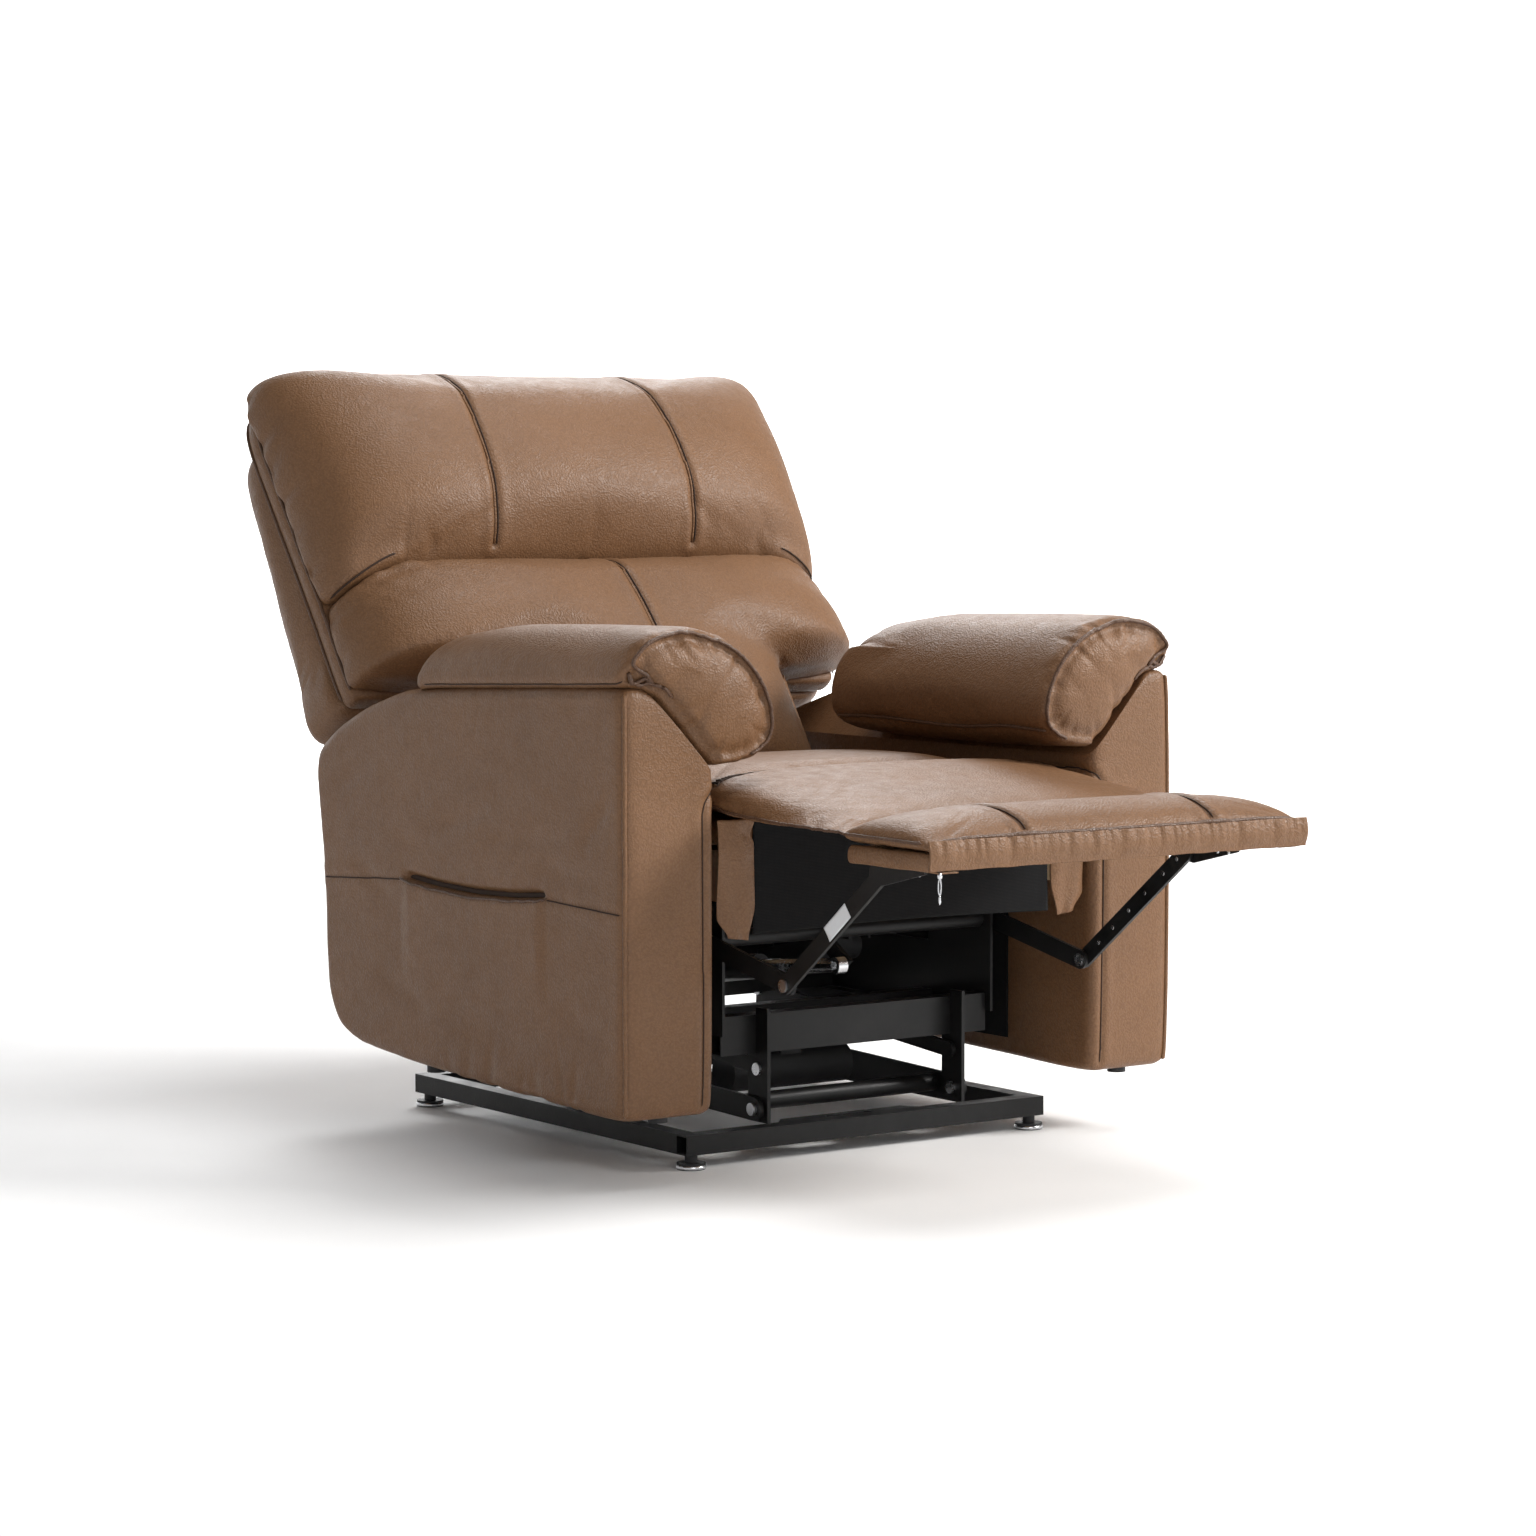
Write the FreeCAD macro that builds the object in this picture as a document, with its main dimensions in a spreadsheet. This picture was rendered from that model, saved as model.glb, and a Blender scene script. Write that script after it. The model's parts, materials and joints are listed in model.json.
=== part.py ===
import FreeCAD, Part
import Sketcher
import os
import re

# Lift recliner chair, millimetres. +Z up, the sitter faces -Y, "right" is the sitter's right (-X).
# The origin is on the floor under the middle of the chair in its stored pose: lift down, footrest
# out, back part reclined. Every piece is drawn where it stands in that pose.

doc = FreeCAD.newDocument("lift_recliner_chair")
os.makedirs("parts", exist_ok=True)
Vec, Rot = FreeCAD.Vector, FreeCAD.Rotation

DIMS = {
    # overall
    "body_half": 430,          # outer side of the arms
    "arm_inner": 293,          # inner side of the arms
    "arm_front": -300,         # front of the arms
    "arm_top": 600,            # top of the arm boxes, below the pillows
    "arm_bottom": 86,
    "seat_half": 285,          # half width of seat cushion and footrest pad
    "seat_top": 490,
    "seat_under": 399,         # underside of the seat cushion
    # steel base on the floor
    "base_half": 282.6,
    "base_front": -217,
    "base_back": 440,
    "base_low": 18,
    "tube": 25,                # square tube of the base and the lift frame
    "foot_radius": 18,
    # lift linkage, pivots in the (Y, Z) plane
    "lift_rear_y": 230, "lift_low_z": 75, "lift_high_z": 149,
    "lift_front_y": -190, "lift_front_low_z": 63, "lift_front_high_z": 113,
    "upright_in": 151.5, "upright_out": 156.5,
    "bolt_radius": 5, "hole_radius": 5.05,
    # lift frame that carries the chair body
    "lift_half": 210, "lift_bar_low": 132, "lift_bar_high": 181,
    # footrest hinge, links and board
    "pad_hinge_y": -340, "pad_hinge_z": 470,
    "link_root_y": -170, "link_root_z": 278,
    "link_knee_y": -357, "link_knee_z": 240,
    "link_tip_y": -550, "link_tip_z": 390,
    "board_low": 410, "pad_front": -712,
    # back, hinged between the arms
    "back_y": 290, "back_z": 400, "back_lean": 34,
    "back_narrow": 255, "back_wide": 415, "back_step": 187, "back_top": 660,
    "hinge_pin": 6, "hinge_hole": 6.05,
}

sheet = doc.addObject("Spreadsheet::Sheet", "dims")
for row, (name, size) in enumerate(DIMS.items(), 1):
    sheet.set(f"A{row}", name)
    sheet.set(f"B{row}", str(size))
    sheet.setAlias(f"B{row}", name)
doc.recompute()

NODES = []


def value(text):
    """Number behind a sum such as "arm_front + 2*tube - 3"."""
    total, sign = 0.0, 1.0
    for word in str(text).split():
        if word in ("+", "-"):
            sign = 1.0 if word == "+" else -1.0
            continue
        term = sign
        for factor in word.split("*"):
            if factor.startswith("-") and factor[1:] in DIMS:
                term, factor = -term, factor[1:]
            term *= DIMS[factor] if factor in DIMS else float(factor)
        total, sign = total + term, 1.0
    return total


def formula(text):
    return re.sub(r"[a-z][a-z_]*", lambda word: "dims." + word.group(0), str(text))


def bind(item, prop, text):
    item.setExpression(prop, formula(text))


def keep(item, name):
    item.Label = name
    NODES.append(item)
    return item


# ---- sketches, pads and pockets -------------------------------------------------------------

def sketch_on(body, plane, start):
    sketch = body.newObject("Sketcher::SketchObject", "outline")
    planes = [f for f in body.Origin.OriginFeatures if f.Role == plane + "_Plane"]
    sketch.AttachmentSupport = [(planes[0], "")]
    sketch.MapMode = "FlatFace"
    side = "-1*" if plane == "XZ" else ""          # that plane's normal points along -Y
    shift = value(start) * (-1 if side else 1)
    sketch.AttachmentOffset = FreeCAD.Placement(Vec(0, 0, shift), Rot())
    if re.search("[a-z]", str(start)):
        bind(sketch, "AttachmentOffset.Base.z", f"{side}({start})" if side else start)
    return sketch


def fix(sketch, kind, vertex, text):
    """Holds a vertex or centre at a coordinate, bound to the sheet where it names a size."""
    mark = sketch.addConstraint(Sketcher.Constraint(kind, -1, 1, vertex[0], vertex[1], value(text)))
    if re.search("[a-z]", str(text)):
        sketch.setExpression(f"Constraints[{mark}]", formula(text))


def polygon(sketch, points):
    corners = [Vec(value(a), value(b), 0) for a, b in points]
    count = len(corners)
    for i in range(count):
        sketch.addGeometry(Part.LineSegment(corners[i], corners[(i + 1) % count]))
    for i in range(count):
        sketch.addConstraint(Sketcher.Constraint("Coincident", i, 2, (i + 1) % count, 1))
        fix(sketch, "DistanceX", (i, 1), points[i][0])
        fix(sketch, "DistanceY", (i, 1), points[i][1])


def circle(sketch, centre, radius):
    where = Vec(value(centre[0]), value(centre[1]), 0)
    item = sketch.addGeometry(Part.Circle(where, Vec(0, 0, 1), value(radius)))
    fix(sketch, "DistanceX", (item, 3), centre[0])
    fix(sketch, "DistanceY", (item, 3), centre[1])
    mark = sketch.addConstraint(Sketcher.Constraint("Radius", item, value(radius)))
    if re.search("[a-z]", str(radius)):
        sketch.setExpression(f"Constraints[{mark}]", formula(radius))


def prism(name, plane, points, start, length, holes=(), body=None, cut=False):
    """Closed outline pushed straight through: added to a body, or cut from it."""
    body = body or doc.addObject("PartDesign::Body", name)
    sketch = sketch_on(body, plane, start)
    polygon(sketch, points)
    for centre, radius in holes:
        circle(sketch, centre, radius)
    doc.recompute()
    before = body.Shape.Volume if body.Tip else 0
    step = body.newObject("PartDesign::Pocket" if cut else "PartDesign::Pad", "step")
    step.Profile = sketch
    step.Length = value(length)
    if re.search("[a-z]", str(length)):
        bind(step, "Length", length)
    # both run from the start towards the positive axis
    step.Reversed = (plane == "XZ") != cut
    doc.recompute()
    if cut and body.Shape.Volume > before - 1:
        raise RuntimeError(f"{name}: the pocket missed")
    return body


def soften(body, radius, along, where=lambda middle: True):
    """Rounds the straight edges that run along one axis."""
    axis = {"X": Vec(1, 0, 0), "Y": Vec(0, 1, 0), "Z": Vec(0, 0, 1)}[along]
    edges = []
    for i, edge in enumerate(body.Tip.Shape.Edges, 1):
        if not isinstance(edge.Curve, Part.Line) or not where(edge.CenterOfMass):
            continue
        if abs(edge.tangentAt(edge.FirstParameter).dot(axis)) > 0.999:
            edges.append(f"Edge{i}")
    if not edges:
        raise RuntimeError(f"{body.Name}: no edge to round")
    fillet = body.newObject("PartDesign::Fillet", "fillet")
    fillet.Base = (body.Tip, edges)
    fillet.Radius = radius
    body.Tip = fillet
    doc.recompute()
    return body


# ---- boxes, cylinders, joined and mirrored pieces --------------------------------------------

def block(name, x, y, z):
    item = doc.addObject("Part::Box", name)
    for size, base, (low, high) in (("Length", "x", x), ("Width", "y", y), ("Height", "z", z)):
        bind(item, size, f"({high}) - ({low})")
        bind(item, f"Placement.Base.{base}", low)
    return item


def rod_x(name, y, z, radius, x0, x1):
    """Round bar lying along X."""
    item = doc.addObject("Part::Cylinder", name)
    item.Placement = FreeCAD.Placement(Vec(value(x0), value(y), value(z)), Rot(Vec(0, 1, 0), 90))
    bind(item, "Radius", radius)
    bind(item, "Height", f"({x1}) - ({x0})")
    bind(item, "Placement.Base.x", x0)
    bind(item, "Placement.Base.y", y)
    bind(item, "Placement.Base.z", z)
    return item


def disc(name, x, y, z, radius):
    """Upright round piece between two heights."""
    item = doc.addObject("Part::Cylinder", name)
    item.Placement.Base = Vec(x, y, value(z[0]))
    bind(item, "Placement.Base.z", z[0])
    bind(item, "Radius", radius)
    bind(item, "Height", f"({z[1]}) - ({z[0]})")
    return item


def join(name, items):
    item = doc.addObject("Part::MultiFuse", name)
    item.Shapes = items
    return item


def cut(name, base, tool):
    item = doc.addObject("Part::Cut", name)
    item.Base, item.Tool = base, tool
    return item


def mirrored(name, item):
    other = doc.addObject("Part::Mirroring", name)
    other.Source = item
    other.Normal = Vec(1, 0, 0)
    return other


def pair(name, item):
    """The same piece on both sides of the chair, as two solids of one node."""
    return keep(join(name, [item, mirrored(name + "_left", item)]), name)


def both(name, item):
    """Left piece kept as drawn, right piece as its mirror image, each a node of its own."""
    keep(item, name + "_left")
    keep(mirrored(name + "_right", item), name + "_right")


def square_tube(name, x, y, z, along, wall=2):
    inner = {"x": x, "y": y, "z": z}
    for axis in inner:
        low, high = inner[axis]
        grow = 1 if axis == along else -wall
        inner[axis] = (f"{low} - {grow}" if grow > 0 else f"{low} + {wall}",
                       f"{high} + {grow}" if grow > 0 else f"{high} - {wall}")
    return cut(name, block(name + "_outer", x, y, z), block(name + "_bore", **inner))


def flat_bar(name, ends, x, width, holes):
    """Flat link with round ends, from pivot to pivot, drilled at the listed pivots."""
    (ay, az), (by, bz) = ends
    body = doc.addObject("PartDesign::Body", name)
    sketch = sketch_on(body, "YZ", x[0])
    start, end = Vec(value(ay), value(az), 0), Vec(value(by), value(bz), 0)
    along = (end - start).normalize()
    side = Vec(-along.y, along.x, 0) * (width / 2)
    turn = (Vec(0, 0, 1), width / 2)
    for first, mid, last in ((start + side, start - along * (width / 2), start - side),
                             (end - side, end + along * (width / 2), end + side)):
        sketch.addGeometry(Part.Arc(first, mid, last))
    sketch.addGeometry(Part.LineSegment(start - side, end - side))
    sketch.addGeometry(Part.LineSegment(end + side, start + side))
    for a, b in (((0, 2), (2, 1)), ((2, 2), (1, 1)), ((1, 2), (3, 1)), ((3, 2), (0, 1))):
        sketch.addConstraint(Sketcher.Constraint("Tangent", a[0], a[1], b[0], b[1]))
    for arc, (py, pz) in ((0, ends[0]), (1, ends[1])):
        fix(sketch, "DistanceX", (arc, 3), py)
        fix(sketch, "DistanceY", (arc, 3), pz)
    sketch.addConstraint(Sketcher.Constraint("Radius", 0, turn[1]))
    for centre in holes:
        circle(sketch, centre, "hole_radius")
    pad = body.newObject("PartDesign::Pad", "step")
    pad.Profile = sketch
    bind(pad, "Length", f"({x[1]}) - ({x[0]})")
    doc.recompute()
    return body


def bolt(name, pivot, grip, head=8, head_out=5, nut=True):
    """Shank through the grip, head outside it and a nut inside."""
    inner, outer = grip
    pieces = [rod_x(name + "_shank", *pivot, "bolt_radius", f"{inner} - 0.3", f"{outer} + 0.3"),
              rod_x(name + "_head", *pivot, head, f"{outer} + 0.3", f"{outer} + {head_out}")]
    if nut:
        pieces.append(rod_x(name + "_nut", *pivot, head, f"{inner} - {head_out}", f"{inner} - 0.3"))
    return join(name, pieces)


# ---- steel base -------------------------------------------------------------------------------

rail_in = "base_half - tube"
low, high = "base_low", "base_low + tube"
keep(square_tube("front_bar", ("-base_half", "base_half"), ("base_front", "base_front + tube"),
                 (low, high), "x"), "base_front_bar")
keep(square_tube("rear_bar", ("-1*base_half + tube", rail_in), ("base_back - tube", "base_back"),
                 (low, high), "x"), "base_rear_bar")
keep(square_tube("mid_bar", ("-1*base_half + tube", rail_in), ("217", "217 + tube"),
                 (low, high), "x"), "base_mid_bar")
both("base_side_rail", square_tube("side_rail", (rail_in, "base_half"),
                                   ("base_front + tube", "base_back"), (low, high), "y"))

plate = prism("stiffener", "XY", [(-130, "base_front + tube"), (130, "base_front + tube"),
                                  (95, -152), (-95, -152)], 36, 3)
slot = [(-30, -182), (30, -182), (36, -176), (36, -168), (30, -162), (-30, -162), (-36, -168),
        (-36, -176)]
keep(prism("stiffener", "XY", slot, 30, 15, body=plate, cut=True), "base_stiffener_plate")

upright = prism("upright", "YZ", [(205, high), (255, high), (248, 168), (214, 168)],
                "upright_in", "upright_out - upright_in",
                holes=[(("lift_rear_y", "lift_low_z"), "hole_radius"),
                       (("lift_rear_y + 1", "lift_high_z"), "hole_radius")])
pair("base_uprights", upright)

feet = []
for x, y in ((-268, -204), (268, -204), (-268, 425), (268, 425)):
    feet.append(join("foot", [disc("foot_pad", x, y, (0, 8), "foot_radius"),
                              disc("foot_stem", x, y, (8, "base_low"), 8)]))
keep(join("feet", feet), "levelling_feet")

rear_low, rear_high = ("lift_rear_y", "lift_low_z"), ("lift_rear_y + 1", "lift_high_z")
front_low = ("lift_front_y", "lift_front_low_z")
front_high = ("lift_front_y", "lift_front_high_z")
rear_bolts = join("rear_bolts", [
    bolt("rear_low_bolt", rear_low, ("upright_in", 164)),
    bolt("rear_high_bolt", rear_high, (144, "upright_out"))])
pair("lift_pivot_bolts_rear", rear_bolts)

lug = prism("rear_lug", "YZ", [(388, 60), (412, 43.4), ("base_back", "base_low + tube + 0.2"),
                               ("base_back", 52), (412, 86), (388, 86)], 14, 4)
pair("lift_actuator_lug", lug)

# ---- parallel links that raise the chair --------------------------------------------------------

pair("lift_links_lower", flat_bar("low_link", (rear_low, front_low), (158, 164), 30,
                                  [rear_low, front_low]))
keep(rod_x("cross_tube", -140, 63, 11.5, -158, 158), "lift_cross_tube")
pair("lift_links_upper", flat_bar("high_link", (rear_high, front_high), (144, 150), 20,
                                  [rear_high]))

# ---- lift frame under the chair body --------------------------------------------------------------

bar_low, bar_high = "lift_bar_low", "lift_bar_high"
rail_high = "lift_bar_low + tube"
keep(square_tube("lift_front", ("-lift_half", "lift_half"), (-185, -160), (bar_low, bar_high), "x"),
     "lift_frame_front_bar")
keep(square_tube("lift_rear", ("-1*lift_half + tube", "lift_half - tube"), (305, 330),
                 (bar_low, rail_high), "x"), "lift_frame_rear_bar")
both("lift_frame_side_rail", square_tube("lift_side", ("lift_half - tube", "lift_half"), (-160, 330),
                                         (bar_low, rail_high), "y"))
pair("lift_brackets", prism("bracket", "YZ", [(-210, 46), (-168, 46), (-168, 131.8), (-185.2, 131.8),
                                              (-185.2, 190), (-210, 190)],
                            "upright_in", "upright_out - upright_in",
                            holes=[(front_low, "hole_radius"), (front_high, "hole_radius")]))
front_bolts = join("front_bolts", [
    bolt("front_low_bolt", front_low, ("upright_in", 164)),
    bolt("front_high_bolt", front_high, ("upright_in", "upright_out"), nut=False, head_out=4)])
pair("lift_pivot_bolts_front", front_bolts)

both("mechanism_plate", prism(
    "plate", "YZ", [(-195, 158), (330, 158), (330, 190), (120, 235), (120, 334.7), (80, 334.7),
                    (62, 240), (-62, 240), (-80, 334.7), (-195, 334.7)],
    "lift_half + 0.3", 4, holes=[(("link_root_y", "link_root_z"), 11.05)]))

bridge_z = (f"{rail_high} + 0.2", f"{rail_high} + 18")
hangers = [block("lift_bridge", (-210, 210), (-72, -48), bridge_z),
           block("foot_bridge", (-210, 210), (150, 180), bridge_z)]
for x in (-18, 14):
    hangers.append(prism("lift_hanger", "YZ", [(-72, 118), (-48, 118), (-48, 158), (-72, 158)], x, 4))
for x in (-78, -46):
    hangers.append(prism("foot_hanger", "YZ", [(153, 174), (177, 174), (177, 212), (153, 212)], x, 4))
for x in (72, 104):
    hangers.append(prism("back_hanger", "YZ", [(-72, 250), (-48, 250), (-48, 334.7), (-72, 334.7)],
                         x, 4))
hangers += [rod_x("lift_pin", -60, 130, "bolt_radius", -18.5, 18.5),
            rod_x("foot_pin", 165, 200, "bolt_radius", -78.5, -41.5),
            rod_x("back_pin", -60, 262, "bolt_radius", 71.5, 108.5)]
keep(join("hangers", hangers), "actuator_brackets")

box = soften(prism("control", "YZ", [(60, 157.3), (140, 157.3), (140, 195), (60, 195)], -205, 90),
             4, "X")
keep(box, "control_box")

# ---- seat ---------------------------------------------------------------------------------------------

seat_wood = (335, 390)
keep(block("front_rail", (-263, 263), (-284, -262), seat_wood), "seat_rail_front")
rear_rail = cut("rear_rail_notched", block("rear_rail", (-242, 242), (105, 127), seat_wood),
                block("back_actuator_notch", (64, 116), (100, 132), (330, 360)))
keep(join("cross_rails", [rear_rail,
                          block("middle_rail", (-242, 242), (-72, -50), seat_wood)]),
     "seat_rails_cross")
pair("seat_rails_side", block("side_wood", (243, 263), (-261.5, 127), seat_wood))
keep(block("deck", (-263, 263), (-284, 127), (390.3, 398)), "seat_deck")

seat_outline = [(-339.6, "pad_hinge_z"), (-280.5, 410), (-266, "seat_under"), (131, "seat_under"),
                (140, 440), (157, "seat_top"), (-190, "seat_top"), (-262, 488)]
seat = prism("seat", "YZ", seat_outline, "-seat_half", "2*seat_half")
keep(soften(seat, 12, "X", lambda c: c.z > 480 and c.y < 0), "seat_cushion")
keep(block("front_cloth", (-231, 231), (-287.6, -285.6), (297, 404)), "seat_front_cloth")
pair("seat_front_flaps", block("flap", (231.6, 275), (-288.2, -285.2), (295, 404)))

# ---- arms ---------------------------------------------------------------------------------------------

arm_side = [("arm_front", "arm_bottom"), (-24, 92), (146, 98), (298, 108), (363, 120), (403, 149),
            (424, 208), (427, 314), (448, 419), (457, 479), (438, 503), (358, 544), (266, 571),
            (190, 586), ("arm_front", "arm_top")]
slope = [("arm_inner - 1", 489), (391, "arm_top - 1"), (391, 720), ("arm_inner - 1", 720)]
arms = {}
for side in ("left", "right"):
    arm = prism("arm_" + side, "YZ", arm_side, "arm_inner", "body_half - arm_inner")
    prism("arm", "XZ", slope, -310, 800, body=arm, cut=True)
    if side == "right":
        # recess of the side pocket, closed from outside by its own leather panel
        prism("arm", "YZ", [(-129, 150), (218, 150), (218, 331), (206, 345), (-117, 345),
                            (-129, 331)], "body_half - 18", 30, body=arm, cut=True)
    soften(arm, 16, "Z", lambda c: c.y < -290)
    arms[side] = arm
keep(arms["left"], "arm_body_left")
keep(mirrored("arm_turned", arms["right"]), "arm_body_right")
pocket = prism("pocket", "YZ", [(-128.6, 150.4), (217.6, 150.4), (217.6, 331), (-128.6, 331)],
               "-body_half", 4)
keep(pocket, "arm_pocket_panel")

pillow_outline = [(429, 601), (429, 616), (421, 640), (398, 664), (362, 675), (326, 675), (283, 662),
                  (242, 632), (213, 590), (204, 550), (213, 522), (240, 505), (292, 500), (300, 501),
                  (390, 601)]
pillow = prism("pillow", "XZ", pillow_outline, "arm_front - 8", 498)
prism("pillow", "YZ", [(-400, 710), (-400, 684), (-40, 668), (96, 657), (192, 634), (192, 710)],
      190, 260, body=pillow, cut=True)
prism("pillow", "YZ", [(158, 490), (190, 610), (190, 700), (220, 700), (220, 490)],
      190, 260, body=pillow, cut=True)
both("arm_pillow", pillow)
pair("arm_linings", block("lining", (291, "arm_inner - 0.3"), (-130, 415), (110, 455)))
keep(block("rear_cloth", (-291, 291), (404, 406), (118, 262)), "rear_dust_cloth")
glides = [disc("glide", x, y, (75, 85.5 + lift), 12)
          for x in (-362, 362) for y, lift in ((-270, 0), (250, 18))]
keep(join("glides", glides), "arm_glides")

# ---- footrest -------------------------------------------------------------------------------------------

pad = prism("pad", "YZ", [("pad_hinge_y - 1.2", "pad_hinge_z - 0.4"), (-400, 461), (-500, 455),
                          (-530, 456), (-565, 471), (-655, 473), (-690, 462), ("pad_front", 437),
                          ("pad_front", 425), (-560, 425), (-540, 434.5), (-377, 434.5)],
            "-seat_half", "2*seat_half")
keep(pad, "footrest_pad")
keep(soften(prism("board", "XY", [(-270, -548), (270, -548), (270, -706), (-270, -706)],
                  "board_low", 14.5), 25, "Z"), "footrest_board")
tip = ("link_tip_y", "link_tip_z")
knee = ("link_knee_y", "link_knee_z")
root = ("link_root_y", "link_root_z")
pair("footrest_brackets", prism(
    "foot_bracket", "YZ", [(-640, 397), (-640, 409.7), (-549, 409.7), (-534, 396), (-534, 382),
                           (-560, 378)], 237.2, 4))

pair("footrest_links_lower", flat_bar("shin_link", (root, knee), (226, 231), 24, [knee]))
crank = prism("crank", "YZ", [(-181, 281), (-160, 272), (-219, 231), (-239, 246)], -50, 6)
tube = join("drive_tube", [rod_x("torque_tube", *root, 11, -225.8, 225.8), crank])
keep(tube, "footrest_drive_tube")
rivet = join("knee_rivet", [rod_x("knee_shank", *knee, "bolt_radius", 225.8, 236.8),
                            rod_x("knee_inner", *knee, 8, 223, 225.8),
                            rod_x("knee_outer", *knee, 8, 236.8, 239.5)])
pair("footrest_link_rivets", rivet)
pair("footrest_links_upper", flat_bar("toe_link", (knee, tip), (231.5, 236.5), 22, [knee]))

# ---- back, drawn upright in its own frame, then leaned about the hinge -------------------------------------
# local Z runs up the back, local -Y is its soft side, the hinge is at the local origin

back_items = []


def lean(item):
    item.Placement = FreeCAD.Placement(Vec(0, DIMS["back_y"], DIMS["back_z"]),
                                       Rot(Vec(1, 0, 0), -DIMS["back_lean"]))
    bind(item, "Placement.Base.y", "back_y")
    bind(item, "Placement.Base.z", "back_z")
    bind(item, "Placement.Rotation.Angle", "back_lean")
    item.setExpression("Placement.Rotation.Axis.x", "-1")
    return item


def leaned(name, item):
    """The joined piece is what leans, so its parts stay simple."""
    return keep(lean(item), name)


lumbar = prism("lumbar", "YZ", [(-2, -30), (-120, -45), (-149, -12), (-149, "back_step"),
                                (-2, "back_step")], "-back_narrow", "2*back_narrow")
prism("lumbar", "XY", [(-415, -2), (-415, -28), (-330, -118), (-200, -140), (200, -140),
                       (330, -118), (415, -28), (415, -2)], "back_step", 172, body=lumbar)
soften(lumbar, 30, "X", lambda c: c.z > 340 and c.y < -100)
leaned("back_cushion_lumbar", lumbar)
head = prism("head", "XY", [(-425, -2), (-425, -20), (-340, -125), (-200, -148), (200, -148),
                            (340, -125), (425, -20), (425, -2)], 366, "back_top - 366")
soften(head, 45, "X", lambda c: c.y < -120)
leaned("back_cushion_head", head)

shell = prism("shell", "YZ", [(29.5, -58), (138, -58), (139, 300), (104, 600), (80, 632), (29.5, 632)],
              "-back_narrow", "2*back_narrow")
for x0, x1 in (("-1*back_wide + 15", "-back_narrow"), ("back_narrow", "back_wide - 15")):
    prism("shell", "YZ", [(29.5, "back_step"), (138, "back_step"), (139, 300), (104, 600), (80, 632),
                          (29.5, 632)], x0, "back_wide - 15 - back_narrow", body=shell)
leaned("back_shell", shell)

wood = (3, 27)
uprights = block("back_upright", (215, 240), wood, (-50, 610))
frame = join("back_uprights", [uprights, mirrored("back_upright_right", uprights)])
leaned("back_frame_uprights", frame)
rails = join("back_rails", [block("back_rail", (-214.7, 214.7), wood, (z, z + 25))
                            for z in (-50, 190, 585)])
leaned("back_frame_rails", rails)
wing = block("wing_board", (250, 400), wood, ("back_step + 3", 610))
leaned("back_frame_wings", join("wings", [wing, mirrored("wing_right", wing)]))

hinge_strap = prism("strap", "YZ", [(-22, -22), (22, -22), (26, 160), (4, 160)],
                    "back_narrow + 0.3", 3)
pin = rod_x("hinge_pin", 0, 0, "hinge_pin", "back_narrow + 3.3", "back_narrow + 17")
half = join("hinge_half", [hinge_strap, pin])
leaned("back_hinge_straps", join("hinge_straps", [half, mirrored("hinge_right", half)]))
leaned("back_lever", prism("lever", "YZ", [(3, -50.3), (27, -50.3), (-8, -122), (-32, -118)], 100, 6))

hinge_at = ("back_y", "back_z")
pair("back_hinge_brackets", prism(
    "hinge_bracket", "YZ", [(40, 337), (120, 337), (305, 378), (314, 400), (305, 422), (280, 426),
                            (120, 388), (40, 388)], 263.2, 6, holes=[(hinge_at, "hinge_hole")]))

# ---- linear actuators: motor and outer tube on one pivot, inner rod on the other ------------------------------


def actuator(name, pivot, target, x, tube_end, rod_start, motor):
    """Drawn along local +Y from its pivot, then turned towards the target."""
    (py, pz), (ty, tz) = pivot, target
    reach = Vec(0, ty - py, tz - pz)
    motor_y, motor_z, motor_radius, motor_half = motor
    along = Rot(Vec(1, 0, 0), -90)                       # cylinder axis from Z to +Y

    def rod_y(radius, y0, y1):
        item = doc.addObject("Part::Cylinder", name + "_round")
        item.Radius, item.Height = radius, y1 - y0
        item.Placement = FreeCAD.Placement(Vec(0, y0, 0), along)
        return item

    body = join(name + "_body", [
        rod_x(name + "_eye", 0, 0, 11, -8, 8), rod_y(9.5, 6, 24), rod_y(16, 22, tube_end),
        block(name + "_gearbox", (-16, 16), (motor_y - 20, motor_y + 22),
              (min(motor_z, 0) - 10, max(motor_z, 0) + 10)),
        rod_x(name + "_motor", motor_y, motor_z, motor_radius, -motor_half, motor_half)])
    drilled = cut(name + "_drilled", body, join(name + "_holes", [
        rod_x(name + "_pin_hole", 0, 0, "hole_radius", -20, 20), rod_y(9.05, motor_y + 24,
                                                                      tube_end + 1)]))
    rod = cut(name + "_rod", join(name + "_rod_body", [
        rod_y(9, rod_start, reach.Length - 4), rod_x(name + "_rod_eye", reach.Length, 0, 11, -7, 7)]),
        rod_x(name + "_rod_hole", reach.Length, 0, "hole_radius", -20, 20))
    place = FreeCAD.Placement(Vec(x, py, pz), Rot(Vec(0, 1, 0), reach))
    for item, label in ((drilled, name + "_housing"), (rod, name + "_rod")):
        item.Placement = place
        keep(item, label)


# pivot (Y, Z), far end (Y, Z), X, tube end, start of the rod, motor (along, across, radius, half)
actuator("lift_actuator", (-60, 130), (400, 70), 0, 300, 176, (40, -42, 26, 95))
actuator("footrest_actuator", (165, 200), (-229.04, 240.4), -60, 225, 195, (45, -36, 21, 32))
actuator("back_actuator", (-60, 262), (211.92, 320), 90, 190, 120, (40, -34, 21, 32))

doc.recompute()

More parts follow.
